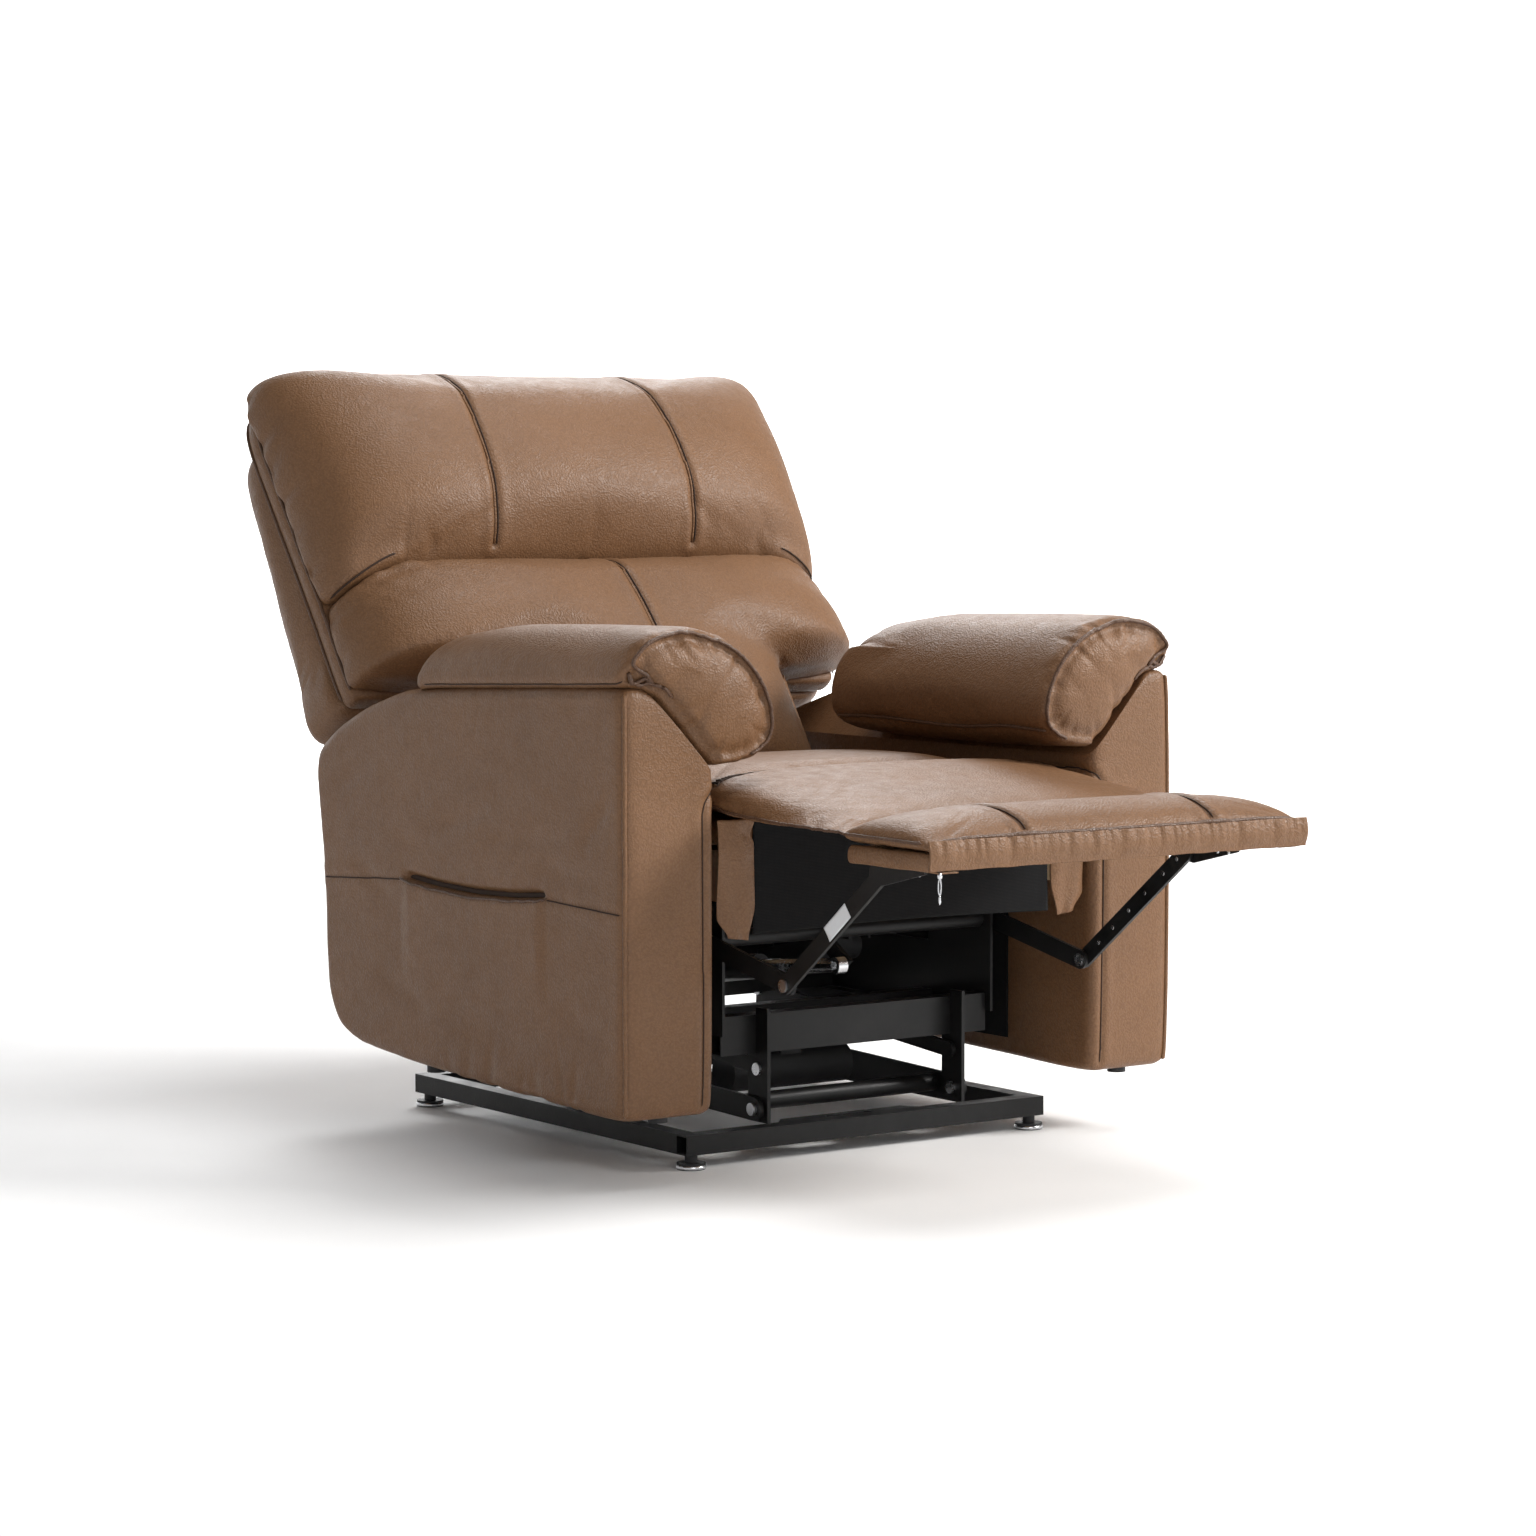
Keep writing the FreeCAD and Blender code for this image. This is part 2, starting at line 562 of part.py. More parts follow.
for item in NODES:
    if "Invalid" in item.State or "Error" in item.State:
        raise RuntimeError(f"{item.Label}: {item.State}")
    shape = item.Shape
    if shape.isNull() or not shape.isValid() or not shape.Solids:
        raise RuntimeError(f"{item.Label}: bad shape")
    shape.exportStep(f"parts/{item.Label}.step")
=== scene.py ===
import bpy, json, math
import numpy as np
from mathutils import Matrix, Vector
from mathutils.bvhtree import BVHTree


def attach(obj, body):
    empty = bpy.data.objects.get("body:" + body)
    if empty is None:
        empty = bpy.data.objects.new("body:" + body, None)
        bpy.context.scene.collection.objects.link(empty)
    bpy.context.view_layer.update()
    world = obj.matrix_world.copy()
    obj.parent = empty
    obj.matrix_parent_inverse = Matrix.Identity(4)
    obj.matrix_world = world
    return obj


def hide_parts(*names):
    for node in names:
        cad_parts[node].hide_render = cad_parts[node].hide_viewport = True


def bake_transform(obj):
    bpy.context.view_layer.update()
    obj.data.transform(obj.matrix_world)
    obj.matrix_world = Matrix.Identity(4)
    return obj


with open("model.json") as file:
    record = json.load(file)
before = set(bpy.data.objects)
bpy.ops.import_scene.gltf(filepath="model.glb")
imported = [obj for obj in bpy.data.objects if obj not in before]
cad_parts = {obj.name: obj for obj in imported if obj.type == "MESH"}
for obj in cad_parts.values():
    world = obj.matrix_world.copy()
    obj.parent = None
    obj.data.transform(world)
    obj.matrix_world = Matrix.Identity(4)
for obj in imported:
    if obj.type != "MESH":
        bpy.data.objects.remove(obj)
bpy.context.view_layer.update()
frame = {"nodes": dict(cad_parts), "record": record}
NODE = frame["nodes"]
scene = bpy.context.scene


# ---- materials -------------------------------------------------------------------------------

def new_material(name):
    """A material, its tree, its shader and its object coordinates."""
    mat = bpy.data.materials.new(name)
    mat.use_nodes = True
    tree = mat.node_tree
    place = tree.nodes.new("ShaderNodeTexCoord").outputs["Object"]
    return mat, tree, tree.nodes["Principled BSDF"], place


def plug(tree, node, **sockets):
    """Sets each named socket to a number or colour, or links another node's output to it."""
    for key, value in sockets.items():
        socket = node.inputs[key.replace("_", " ")]
        if isinstance(value, bpy.types.NodeSocket):
            tree.links.new(value, socket)
        else:
            socket.default_value = value
    return node


def add(tree, kind, **sockets):
    return plug(tree, tree.nodes.new(kind), **sockets)


def bump(tree, source, strength, distance, **under):
    node = add(tree, "ShaderNodeBump", Strength=strength, Distance=distance, Height=source, **under)
    return node.outputs["Normal"]


def ramp(tree, source, stops):
    node = tree.nodes.new("ShaderNodeValToRGB")
    band = node.color_ramp
    while len(band.elements) < len(stops):
        band.elements.new(0.5)
    for element, (place, colour) in zip(band.elements, stops):
        element.position, element.color = place, (*colour, 1)
    tree.links.new(source, node.inputs["Fac"])
    return node.outputs["Color"]


def level(tree, source, low, high, out_low, out_high):
    node = tree.nodes.new("ShaderNodeMapRange")
    for i, number in enumerate((low, high, out_low, out_high), 1):
        node.inputs[i].default_value = number
    tree.links.new(source, node.inputs[0])
    return node.outputs[0]


def leather(name, base=(0.184, 0.093, 0.043), rough=0.47):
    """Pebbled leather: cells for the grain, fine creases, soft tone changes, uneven gloss."""
    mat, tree, bsdf, place = new_material(name)
    fine = add(tree, "ShaderNodeTexNoise", Vector=place, Scale=900.0, Detail=3.0, Roughness=0.6).outputs["Fac"]
    tone = add(tree, "ShaderNodeTexNoise", Vector=place, Scale=7.0, Detail=4.0, Roughness=0.55).outputs["Fac"]
    patch = add(tree, "ShaderNodeTexNoise", Vector=place, Scale=55.0, Detail=5.0, Roughness=0.65).outputs["Fac"]
    warp = add(tree, "ShaderNodeTexNoise", Vector=place, Scale=60.0, Detail=2.0)
    mix = tree.nodes.new("ShaderNodeVectorMath")
    mix.operation = "MULTIPLY_ADD"
    mix.inputs[1].default_value = (0.012, 0.012, 0.012)
    tree.links.new(warp.outputs["Color"], mix.inputs[0])
    tree.links.new(place, mix.inputs[2])
    grain = add(tree, "ShaderNodeTexVoronoi", Vector=mix.outputs[0], Scale=330.0,
                Randomness=0.95).outputs["Distance"]
    dark = tuple(c * 0.92 for c in base)
    light = tuple(min(c * 1.07, 1) for c in base)
    body = ramp(tree, tone, ((0.3, dark), (0.52, base), (0.74, light)))
    pits = ramp(tree, grain, ((0.0, (1.06, 1.06, 1.06)), (0.75, (0.8, 0.78, 0.76))))
    colour = tree.nodes.new("ShaderNodeMix")
    colour.data_type, colour.blend_type = "RGBA", "MULTIPLY"
    colour.inputs["Factor"].default_value = 1.0
    tree.links.new(body, colour.inputs["A"])
    tree.links.new(pits, colour.inputs["B"])
    large = bump(tree, patch, 0.12, 0.0024)
    small = bump(tree, grain, 0.42, 0.0014, Normal=large)
    plug(tree, bsdf, Base_Color=colour.outputs["Result"], Normal=bump(tree, fine, 0.1, 0.0005, Normal=small),
         Roughness=level(tree, patch, 0.3, 0.7, rough - 0.07, rough + 0.09), Specular_IOR_Level=0.34)
    return mat


def coated(name, colour, rough, speck=0.004, metallic=0.0, grime=0.35):
    """Powder coat, plastic or plated metal: orange peel, dust and slightly uneven gloss."""
    mat, tree, bsdf, place = new_material(name)
    peel = add(tree, "ShaderNodeTexNoise", Vector=place, Scale=260.0, Detail=3.0, Roughness=0.6).outputs["Fac"]
    dust = add(tree, "ShaderNodeTexNoise", Vector=place, Scale=18.0, Detail=6.0, Roughness=0.7).outputs["Fac"]
    high = tuple(min(c * (1 + grime) + 0.005, 1) for c in colour)
    plug(tree, bsdf, Base_Color=ramp(tree, dust, ((0.35, colour), (0.75, high))), Metallic=metallic,
         Roughness=level(tree, dust, 0.3, 0.7, rough - 0.06, rough + 0.1),
         Normal=bump(tree, peel, 0.25, speck), Specular_IOR_Level=0.5 if metallic else 0.28)
    return mat


def woven(name, colour):
    """Black dust cloth: fine crossed threads, painted lighter where they stand highest as a painted highlight."""
    mat, tree, bsdf, place = new_material(name)
    both = tree.nodes.new("ShaderNodeMath")
    both.operation = "MULTIPLY"
    for i, axis in enumerate("XZ"):
        wave = add(tree, "ShaderNodeTexWave", Vector=place, Scale=175.0, Distortion=1.5, Detail=2.0)
        wave.bands_direction = axis
        tree.links.new(wave.outputs["Fac"], both.inputs[i])
    # the raised thread crossings get the lighter colour: painted highlight
    light = tuple(c * 2.2 + 0.002 for c in colour)
    plug(tree, bsdf, Base_Color=ramp(tree, both.outputs[0], ((0.0, colour), (1.0, light))),
         Normal=bump(tree, both.outputs[0], 0.4, 0.001), Roughness=0.9, Sheen_Weight=0.04,
         Specular_IOR_Level=0.2)
    return mat


def grained_wood(name):
    mat, tree, bsdf, place = new_material(name)
    wave = add(tree, "ShaderNodeTexWave", Vector=place, Scale=14.0, Distortion=9.0, Detail=4.0)
    colour = ramp(tree, wave.outputs["Fac"], ((0.0, (0.42, 0.28, 0.16)), (1.0, (0.62, 0.46, 0.29))))
    plug(tree, bsdf, Base_Color=colour, Roughness=0.7)
    return mat


HIDE = leather("leather_brown")
# darker leather for the piping cords is painted shade round them; it also makes the painted shade line beside each
# arm's front piping
PIPING_SHADE = leather("leather_piping_shade", base=(0.105, 0.056, 0.033), rough=0.42)
# near-black for thin cords and strips laid in seam grooves, under crease ends and in the pocket slit: painted
# shade
SEAM_SHADE = coated("seam_shadow", (0.03, 0.016, 0.01), 0.75, speck=0.0004)
STEEL = coated("steel_black", (0.004, 0.004, 0.0042), 0.44, speck=0.0006)
PLASTIC = coated("plastic_black", (0.014, 0.014, 0.015), 0.5, speck=0.0005)
ZINC = coated("zinc_plated", (0.62, 0.63, 0.65), 0.24, speck=0.0004, metallic=1.0)
LABEL = coated("label_paper", (0.72, 0.74, 0.76), 0.55, speck=0.0002, grime=0.1)
LINING = woven("lining_cloth", (0.0032, 0.0032, 0.0036))
WOOD = grained_wood("plywood")

BY_SLOT = {"brown_leather": HIDE, "black_lining": LINING, "frame_wood": WOOD, "zinc_plate": ZINC,
           "black_plastic": PLASTIC, "black_steel": STEEL}
# bare wood that would show at the rear is given the dust cloth's dark look, partly as painted shade inside the
# frame; no cloth is modelled there
DARKENED = ("back_frame_rails", "back_frame_uprights")
for part in frame["record"]["subparts"]:
    for material_slot in NODE[part["node"]].material_slots:
        material_slot.material = LINING if part["node"] in DARKENED else BY_SLOT[part["material_slot"]]


# ---- mesh tools ------------------------------------------------------------------------------

def smooth_shaded(mesh):
    mesh.polygons.foreach_set("use_smooth", [True] * len(mesh.polygons))


def make_object(name, verts, faces, material):
    mesh = bpy.data.meshes.new(name)
    mesh.from_pydata([tuple(map(float, v)) for v in verts], [], [tuple(map(int, f)) for f in faces])
    mesh.update()
    item = bpy.data.objects.new(name, mesh)
    scene.collection.objects.link(item)
    mesh.materials.append(material)
    smooth_shaded(mesh)
    return item


def get_points(item, what="co"):
    flat = np.empty(len(item.data.vertices) * 3)
    item.data.vertices.foreach_get(what, flat)
    return flat.reshape(-1, 3)


def set_points(item, points):
    item.data.vertices.foreach_set("co", np.asarray(points, float).ravel())
    item.data.update()


def get_normals(item):
    return get_points(item, "normal")


def applied(item):
    """Bakes the object's modifiers into its mesh."""
    graph = bpy.context.evaluated_depsgraph_get()
    mesh = bpy.data.meshes.new_from_object(item.evaluated_get(graph))
    item.modifiers.clear()
    old, item.data = item.data, mesh
    bpy.data.meshes.remove(old)
    smooth_shaded(mesh)
    return item


def remesh(item, size):
    mod = item.modifiers.new("remesh", "REMESH")
    mod.mode, mod.voxel_size = "VOXEL", size
    return applied(item)


def subdivide(item):
    mod = item.modifiers.new("subdivision", "SUBSURF")
    mod.levels = mod.render_levels = 1
    return applied(item)


def relax(item, rounds):
    """Laplacian smoothing."""
    mesh = item.data
    edges = np.empty(len(mesh.edges) * 2, int)
    mesh.edges.foreach_get("vertices", edges)
    a, b = edges.reshape(-1, 2).T
    points = get_points(item)
    count = np.bincount(a, minlength=len(points)) + np.bincount(b, minlength=len(points))
    for _ in range(rounds):
        total = np.zeros_like(points)
        np.add.at(total, a, points[b])
        np.add.at(total, b, points[a])
        points = points + 0.5 * (total / np.maximum(count, 1)[:, None] - points)
    set_points(item, points)
    return item


def inflate(item, cap, pressure, frames, hold):
    """Cloth pressure swells the closed skin by up to cap; hold(points) is 0 to 1, how firmly it stays."""
    start = get_points(item)
    cloth = item.modifiers.new("cloth", "CLOTH")
    settings = cloth.settings
    settings.quality, settings.mass = 3, 0.3
    settings.tension_stiffness = settings.compression_stiffness = 15
    settings.shear_stiffness, settings.bending_stiffness = 5, 0.5
    settings.use_pressure, settings.uniform_pressure_force = True, pressure
    settings.effector_weights.gravity = 0
    group = item.vertex_groups.new(name="hold")
    for i, weight in enumerate(np.clip(hold(start), 0, 1)):
        group.add([i], float(weight), "REPLACE")
    settings.vertex_group_mass = "hold"
    cloth.point_cache.frame_start, cloth.point_cache.frame_end = 1, frames
    for number in range(1, frames + 1):
        scene.frame_set(number)
    applied(item)
    scene.frame_set(1)
    move = get_points(item) - start
    size = np.linalg.norm(move, axis=1, keepdims=True)
    set_points(item, start + move * np.minimum(1, cap / np.maximum(size, 1e-9)))
    return item


def smoothstep(x, low, high):
    t = np.clip((x - low) / (high - low), 0, 1)
    return t * t * (3 - 2 * t)


def spaced(path, count, endpoint=True):
    """The same path as count points at even distances."""
    run = np.concatenate(([0], np.cumsum(np.linalg.norm(np.diff(path, axis=0), axis=1))))
    where = np.linspace(0, run[-1], count, endpoint=endpoint)
    return np.stack([np.interp(where, run, path[:, k]) for k in range(path.shape[1])], 1)


def closed_loop(corners, count, rounds=3):
    """Corner points rounded by corner cutting, then spaced evenly."""
    points = np.asarray(corners, float)
    for _ in range(rounds):
        ahead = np.roll(points, -1, axis=0)
        points = np.stack((0.75 * points + 0.25 * ahead, 0.25 * points + 0.75 * ahead), 1).reshape(-1, 2)
    return spaced(np.vstack((points, points[:1])), count, endpoint=False)


def line(points, count):
    """Smooth curve through points, evenly spaced (Catmull-Rom)."""
    points = np.asarray(points, float)
    full = np.vstack((2 * points[0] - points[1], points, 2 * points[-1] - points[-2]))
    out = []
    for i in range(len(points) - 1):
        p0, p1, p2, p3 = full[i:i + 4]
        for t in np.linspace(0, 1, 24, endpoint=False):
            out.append(0.5 * (2 * p1 + (p2 - p0) * t + (2 * p0 - 5 * p1 + 4 * p2 - p3) * t * t
                              + (3 * p1 - p0 - 3 * p2 + p3) * t ** 3))
    return spaced(np.array(out + [points[-1]]), count)


def loft(name, rings, material, cap_rings=5):
    """Closed skin over a row of rings, with flat caps of shrinking rings."""
    rings = [np.asarray(r, float) for r in rings]
    count = len(rings[0])
    first, last = rings[0], rings[-1]
    steps = np.linspace(0, 1, cap_rings + 1)[1:]
    head = [first + (first.mean(0) - first) * s * 0.97 for s in steps[::-1]]
    tail = [last + (last.mean(0) - last) * s * 0.97 for s in steps]
    rows = head + rings + tail
    verts = np.vstack(rows + [first.mean(0)[None], last.mean(0)[None]])
    faces = []
    for r in range(len(rows) - 1):
        for k in range(count):
            n = (k + 1) % count
            faces.append((r * count + k, r * count + n, (r + 1) * count + n, (r + 1) * count + k))
    low, high, top = len(rows) * count, len(rows) * count + 1, (len(rows) - 1) * count
    for k in range(count):
        n = (k + 1) % count
        faces.append((low, n, k))
        faces.append((high, top + k, top + n))
    return fix_outward(make_object(name, verts, faces, material))


def fix_outward(item):
    """Turns the faces outward, by the sign of the enclosed volume."""
    mesh = item.data
    volume = 0.0
    points = get_points(item)
    for face in mesh.polygons:
        v = points[list(face.vertices)]
        for i in range(1, len(v) - 1):
            volume += np.dot(v[0], np.cross(v[i], v[i + 1]))
    if volume < 0:
        mesh.flip_normals()
    return item


def mapped(item, matrix):
    set_points(item, get_points(item) @ np.array(matrix.to_3x3()).T + np.array(matrix.translation))
    return item


def mirrored_copy(item, name):
    twin = item.copy()
    twin.data = item.data.copy()
    twin.name = twin.data.name = name
    scene.collection.objects.link(twin)
    points = get_points(twin)
    points[:, 0] *= -1
    set_points(twin, points)
    twin.data.flip_normals()
    return twin


def near_path(points, path):
    """Distance of each point to a polyline, and how far along it."""
    best = np.full(len(points), 9.0)
    along = np.zeros(len(points))
    run = 0.0
    for a, b in zip(path[:-1], path[1:]):
        step = b - a
        size = np.linalg.norm(step)
        t = np.clip((points - a) @ step / max(size * size, 1e-12), 0, 1)
        gap = np.linalg.norm(points - a - t[:, None] * step, axis=1)
        closer = gap < best
        best[closer], along[closer] = gap[closer], run + t[closer] * size
        run += size
    return best, along / max(run, 1e-9)


def surface(item):
    mesh = item.data
    return BVHTree.FromPolygons([v.co[:] for v in mesh.vertices],
                                [tuple(p.vertices) for p in mesh.polygons])


def laid_on(tree, path, lift=0.0):
    """Path dropped onto a surface, raised by lift along its normal."""
    out = []
    for p in path:
        spot, normal, _, _ = tree.find_nearest(Vector(p))
        out.append(np.array(spot) + np.array(normal) * lift)
    return np.array(out)


def carve(item, path, depth, width, swell):
    """Sinks a groove along a path and swells the leather beside it."""
    points, normals = get_points(item), get_normals(item)
    gap, _ = near_path(points, path)
    dip = depth * np.exp(-(gap / width) ** 2)
    rise = swell * np.exp(-((gap - 2.6 * width) / (1.8 * width)) ** 2)
    set_points(item, points + normals * (rise - dip)[:, None])


def ringed(name, verts, sides, material, closed=False):
    """Skin over a row of rings of points; the ends get flat caps unless the row is closed."""
    count = len(verts) // sides
    faces = []
    for i in range(count if closed else count - 1):
        j = (i + 1) % count
        for k in range(sides):
            n = (k + 1) % sides
            faces.append((i * sides + k, j * sides + k, j * sides + n, i * sides + n))
    if not closed:
        faces.append(tuple(range(sides)))
        faces.append(tuple((count - 1) * sides + k for k in range(sides - 1, -1, -1)))
    return fix_outward(make_object(name, verts, faces, material))


def tube(name, path, radius, material, sides=8, closed=False):
    """Round cord along a path, as a mesh with tapered tucked-in ends."""
    path = np.asarray(path, float)
    count = len(path)
    tangents = np.gradient(path, axis=0) if not closed else np.roll(path, -1, 0) - np.roll(path, 1, 0)
    tangents /= np.maximum(np.linalg.norm(tangents, axis=1, keepdims=True), 1e-9)
    side = np.cross(tangents[0], [0.3, 0.2, 0.93])
    side /= np.linalg.norm(side)
    verts = []
    for i in range(count):
        side = side - tangents[i] * np.dot(side, tangents[i])
        side /= np.linalg.norm(side)
        other = np.cross(tangents[i], side)
        r = radius if closed or 0 < i < count - 1 else radius * 0.3
        for k in range(sides):
            turn = 2 * math.pi * k / sides
            verts.append(path[i] + r * (math.cos(turn) * side + math.sin(turn) * other))
    return ringed(name, verts, sides, material, closed)


def cord(item, path, lift, radius, material=PIPING_SHADE, sides=8, name="cord"):
    """Round cord laid along a path on a piece's surface."""
    return tube(name, laid_on(surface(item), path, lift), radius, material, sides)


def joined(name, items):
    """Several small pieces as one mesh object."""
    verts, faces, base = [], [], 0
    for item in items:
        verts += [v.co[:] for v in item.data.vertices]
        faces += [tuple(i + base for i in p.vertices) for p in item.data.polygons]
        base = len(verts)
    material = items[0].data.materials[0]
    for item in items:
        bpy.data.objects.remove(item, do_unlink=True)
    return make_object(name, verts, faces, material)


def placed(item, body, replaces=()):
    if replaces:
        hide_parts(*replaces)
    if body:
        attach(item, body)
    return item


def level_row(x, y, z):
    """One row of a sheet: points whose x, y and z are numbers or arrays of one length."""
    return np.column_stack(np.broadcast_arrays(x, y, z))


def sheet(name, grid, thickness, material):
    """Closed thin skin from a grid of points (rows x columns), thickened to its back."""
    grid = np.asarray(grid, float)
    rows, columns, _ = grid.shape
    du, dv = np.gradient(grid, axis=0), np.gradient(grid, axis=1)
    normal = np.cross(du, dv)
    normal /= np.maximum(np.linalg.norm(normal, axis=2, keepdims=True), 1e-9)
    rear = grid - normal * thickness
    verts = np.vstack((grid.reshape(-1, 3), rear.reshape(-1, 3)))
    base = rows * columns
    at = lambda r, c: r * columns + c
    faces = []
    for r in range(rows - 1):
        for c in range(columns - 1):
            faces.append((at(r, c), at(r + 1, c), at(r + 1, c + 1), at(r, c + 1)))
            faces.append(tuple(base + at(*spot) for spot in ((r, c), (r, c + 1), (r + 1, c + 1), (r + 1, c))))
    edge = [at(r, 0) for r in range(rows)] + [at(rows - 1, c) for c in range(1, columns)]
    edge += [at(r, columns - 1) for r in range(rows - 2, -1, -1)] + [at(0, c) for c in range(columns - 2, 0, -1)]
    for i, near in enumerate(edge):
        ahead = edge[(i + 1) % len(edge)]
        faces.append((near, near + base, ahead + base, ahead))
    return fix_outward(make_object(name, verts, faces, material))


# ---- back: drawn upright about its hinge (Z up the back, -Y its soft side), then leaned ------

BACK_HINGE, BACK_LEAN = (0, 0.29, 0.4), -34
BACK = Matrix.Translation(BACK_HINGE) @ Matrix.Rotation(math.radians(BACK_LEAN), 4, "X")
CREASE_U, CREASE_X = 0.366, 0.33


def dropped(x, u):
    """The crease runs level in the middle and falls away at both ends; the top corners stand up."""
    fall = 0.036 * smoothstep(abs(x), CREASE_X - 0.03, 0.43) * np.exp(-((u - CREASE_U) / 0.09) ** 2)
    return u - fall + 0.016 * smoothstep(abs(x), 0.2, 0.38) * smoothstep(u, 0.56, 0.66)


def back_ring(half, depth, u, side=0.0):
    """Crowned front and flat rear across the back at height u; side is the depth kept near the ends."""
    count, front, edge, base = 120, 4.6, 2.5, -0.001
    turn = np.linspace(0, math.pi, int(count * 0.72))
    x = half * np.sign(np.cos(turn)) * np.abs(np.cos(turn)) ** (2 / front)
    depth = depth + max(side - depth, 0) * smoothstep(np.abs(x), 0.265, 0.325)
    n = depth * np.sin(turn) ** (2 / edge)
    rear = np.linspace(-half, half, count - len(turn) + 2)[1:-1]
    x, n = np.concatenate((x, rear)), np.concatenate((n, np.full(len(rear), base)))
    return np.stack((x, -n, dropped(x, np.full(len(x), u))), 1)


def table(u, rows):
    """The other columns of rows, read off at u."""
    rows = np.asarray(rows, float)
    return [float(np.interp(u, rows[:, 0], rows[:, k])) for k in range(1, rows.shape[1])]


def back_cushion(name, rows):
    heights = np.linspace(rows[0][0], rows[-1][0], 44)
    spread = line(np.array([[r[0], r[1], r[2]] for r in rows]), 300)
    rings = []
    for u in heights:
        half, depth = table(u, spread)
        rings.append(back_ring(half, depth, u, side=0.108 if abs(u - CREASE_U) < 0.03 else 0.0))
    item = remesh(loft(name, rings, HIDE), 0.006)
    relax(item, 6)
    inflate(item, 0.012, pressure=3.0, frames=16, hold=lambda p: smoothstep(p[:, 1], -0.045, -0.005) * 0.98)
    relax(item, 2)
    subdivide(item)
    return item


HEAD = [(0.364, 0.394, 0.066), (0.371, 0.402, 0.094), (0.386, 0.406, 0.114), (0.42, 0.409, 0.133),
        (0.487, 0.412, 0.142), (0.545, 0.416, 0.139), (0.595, 0.419, 0.128), (0.636, 0.42, 0.114),
        (0.66, 0.416, 0.092), (0.672, 0.408, 0.064), (0.677, 0.398, 0.036)]
LUMBAR = [(-0.03, 0.252, 0.11), (-0.01, 0.252, 0.138), (0.04, 0.252, 0.148), (0.17, 0.254, 0.147),
          (0.186, 0.262, 0.146), (0.204, 0.398, 0.143), (0.222, 0.405, 0.141), (0.26, 0.406, 0.134),
          (0.3, 0.404, 0.124), (0.336, 0.402, 0.113), (0.354, 0.399, 0.098), (0.363, 0.394, 0.072)]
head = back_cushion("back_head_cushion", HEAD)
lumbar = back_cushion("back_lumbar_cushion", LUMBAR)


def back_seam(item, x0, x1, u0, u1, bow=0.0):
    """Groove of a seam running up the crowned front of a back cushion; returns its path."""
    tree = surface(item)
    path = []
    for t in np.linspace(0, 1, 70):
        x = x0 + (x1 - x0) * t + bow * math.sin(math.pi * t)
        spot = tree.ray_cast(Vector((x, -0.4, u0 + (u1 - u0) * t)), Vector((0, 1, 0)))[0]
        if spot is not None:
            path.append(np.array(spot))
    path = np.array(path)
    carve(item, path, 0.0034, 0.0045, swell=0.0016)
    return path


def puff(item, centre_x, half_x, low_u, high_u, height):
    """Lets one sewn panel stand a little prouder of its neighbours."""
    points, normals = get_points(item), get_normals(item)
    across = np.clip(1 - ((points[:, 0] - centre_x) / half_x) ** 2, 0, 1)
    up = smoothstep(points[:, 2], low_u, low_u + 0.06) * (1 - smoothstep(points[:, 2], high_u - 0.08, high_u))
    front = smoothstep(-points[:, 1], 0.03, 0.09)
    set_points(item, points + normals * (height * across * up * front)[:, None])


def tucks(item, path, spacing, reach, depth, seed=1, front=0.0):
    """Gathers that fan out from a piped edge: short folds across it that fade with distance."""
    points, normals = get_points(item), get_normals(item)
    gap, along = near_path(points, path)
    total = np.sum(np.linalg.norm(np.diff(path, axis=0), axis=1))
    local = np.random.default_rng(seed)
    count = max(2, int(total / spacing))
    fold = np.zeros(len(points))
    for k in range(count):
        centre = (k + 0.5 + local.uniform(-0.35, 0.35)) / count
        width = local.uniform(0.16, 0.34) * spacing / total
        strength = local.uniform(0.35, 1.0)
        far = reach * local.uniform(0.5, 1.2)
        drift = local.uniform(-0.5, 0.5) * gap / total
        fold += strength * np.exp(-((along - centre + drift) / width) ** 2) * np.exp(-(gap / far) ** 2)
    ease = smoothstep(gap, front, front + 0.006)
    set_points(item, points - normals * (depth * fold * ease)[:, None])


for x, half in ((-0.275, 0.115), (0.0, 0.155), (0.275, 0.115)):
    puff(head, x, half, 0.37, 0.67, 0.007)
for x in (-0.2, 0.2):
    puff(lumbar, x, 0.2, 0.2, 0.36, 0.005)
head_paths = [back_seam(head, s * 0.15, s * 0.163, 0.665, 0.372, bow=s * 0.004) for s in (-1, 1)]
lumbar_path = back_seam(lumbar, 0.0, 0.0, 0.356, 0.0)


def side_path(rows, low, high, sign, depth=0.006):
    out = []
    for u in np.linspace(low, high, 60):
        half, _ = table(u, rows)
        out.append((sign * (half + 0.001), -depth, float(dropped(np.array([half]), np.array([u]))[0])))
    return np.array(out)


for sign in (-1, 1):
    tucks(head, side_path(HEAD, 0.4, 0.655, sign), 0.045, 0.055, 0.005, seed=3 + sign)
    tucks(lumbar, side_path(LUMBAR, 0.21, 0.35, sign), 0.05, 0.045, 0.0035, seed=8 + sign)
    tucks(head, np.array([[sign * 0.25, -0.1, 0.366], [sign * 0.31, -0.1, 0.366]]), 0.035, 0.04, 0.0042,
          seed=12 + sign)
    tucks(lumbar, np.array([[sign * 0.24, -0.1, 0.364], [sign * 0.36, -0.08, 0.36]]), 0.05, 0.035, 0.003,
          seed=15 + sign)
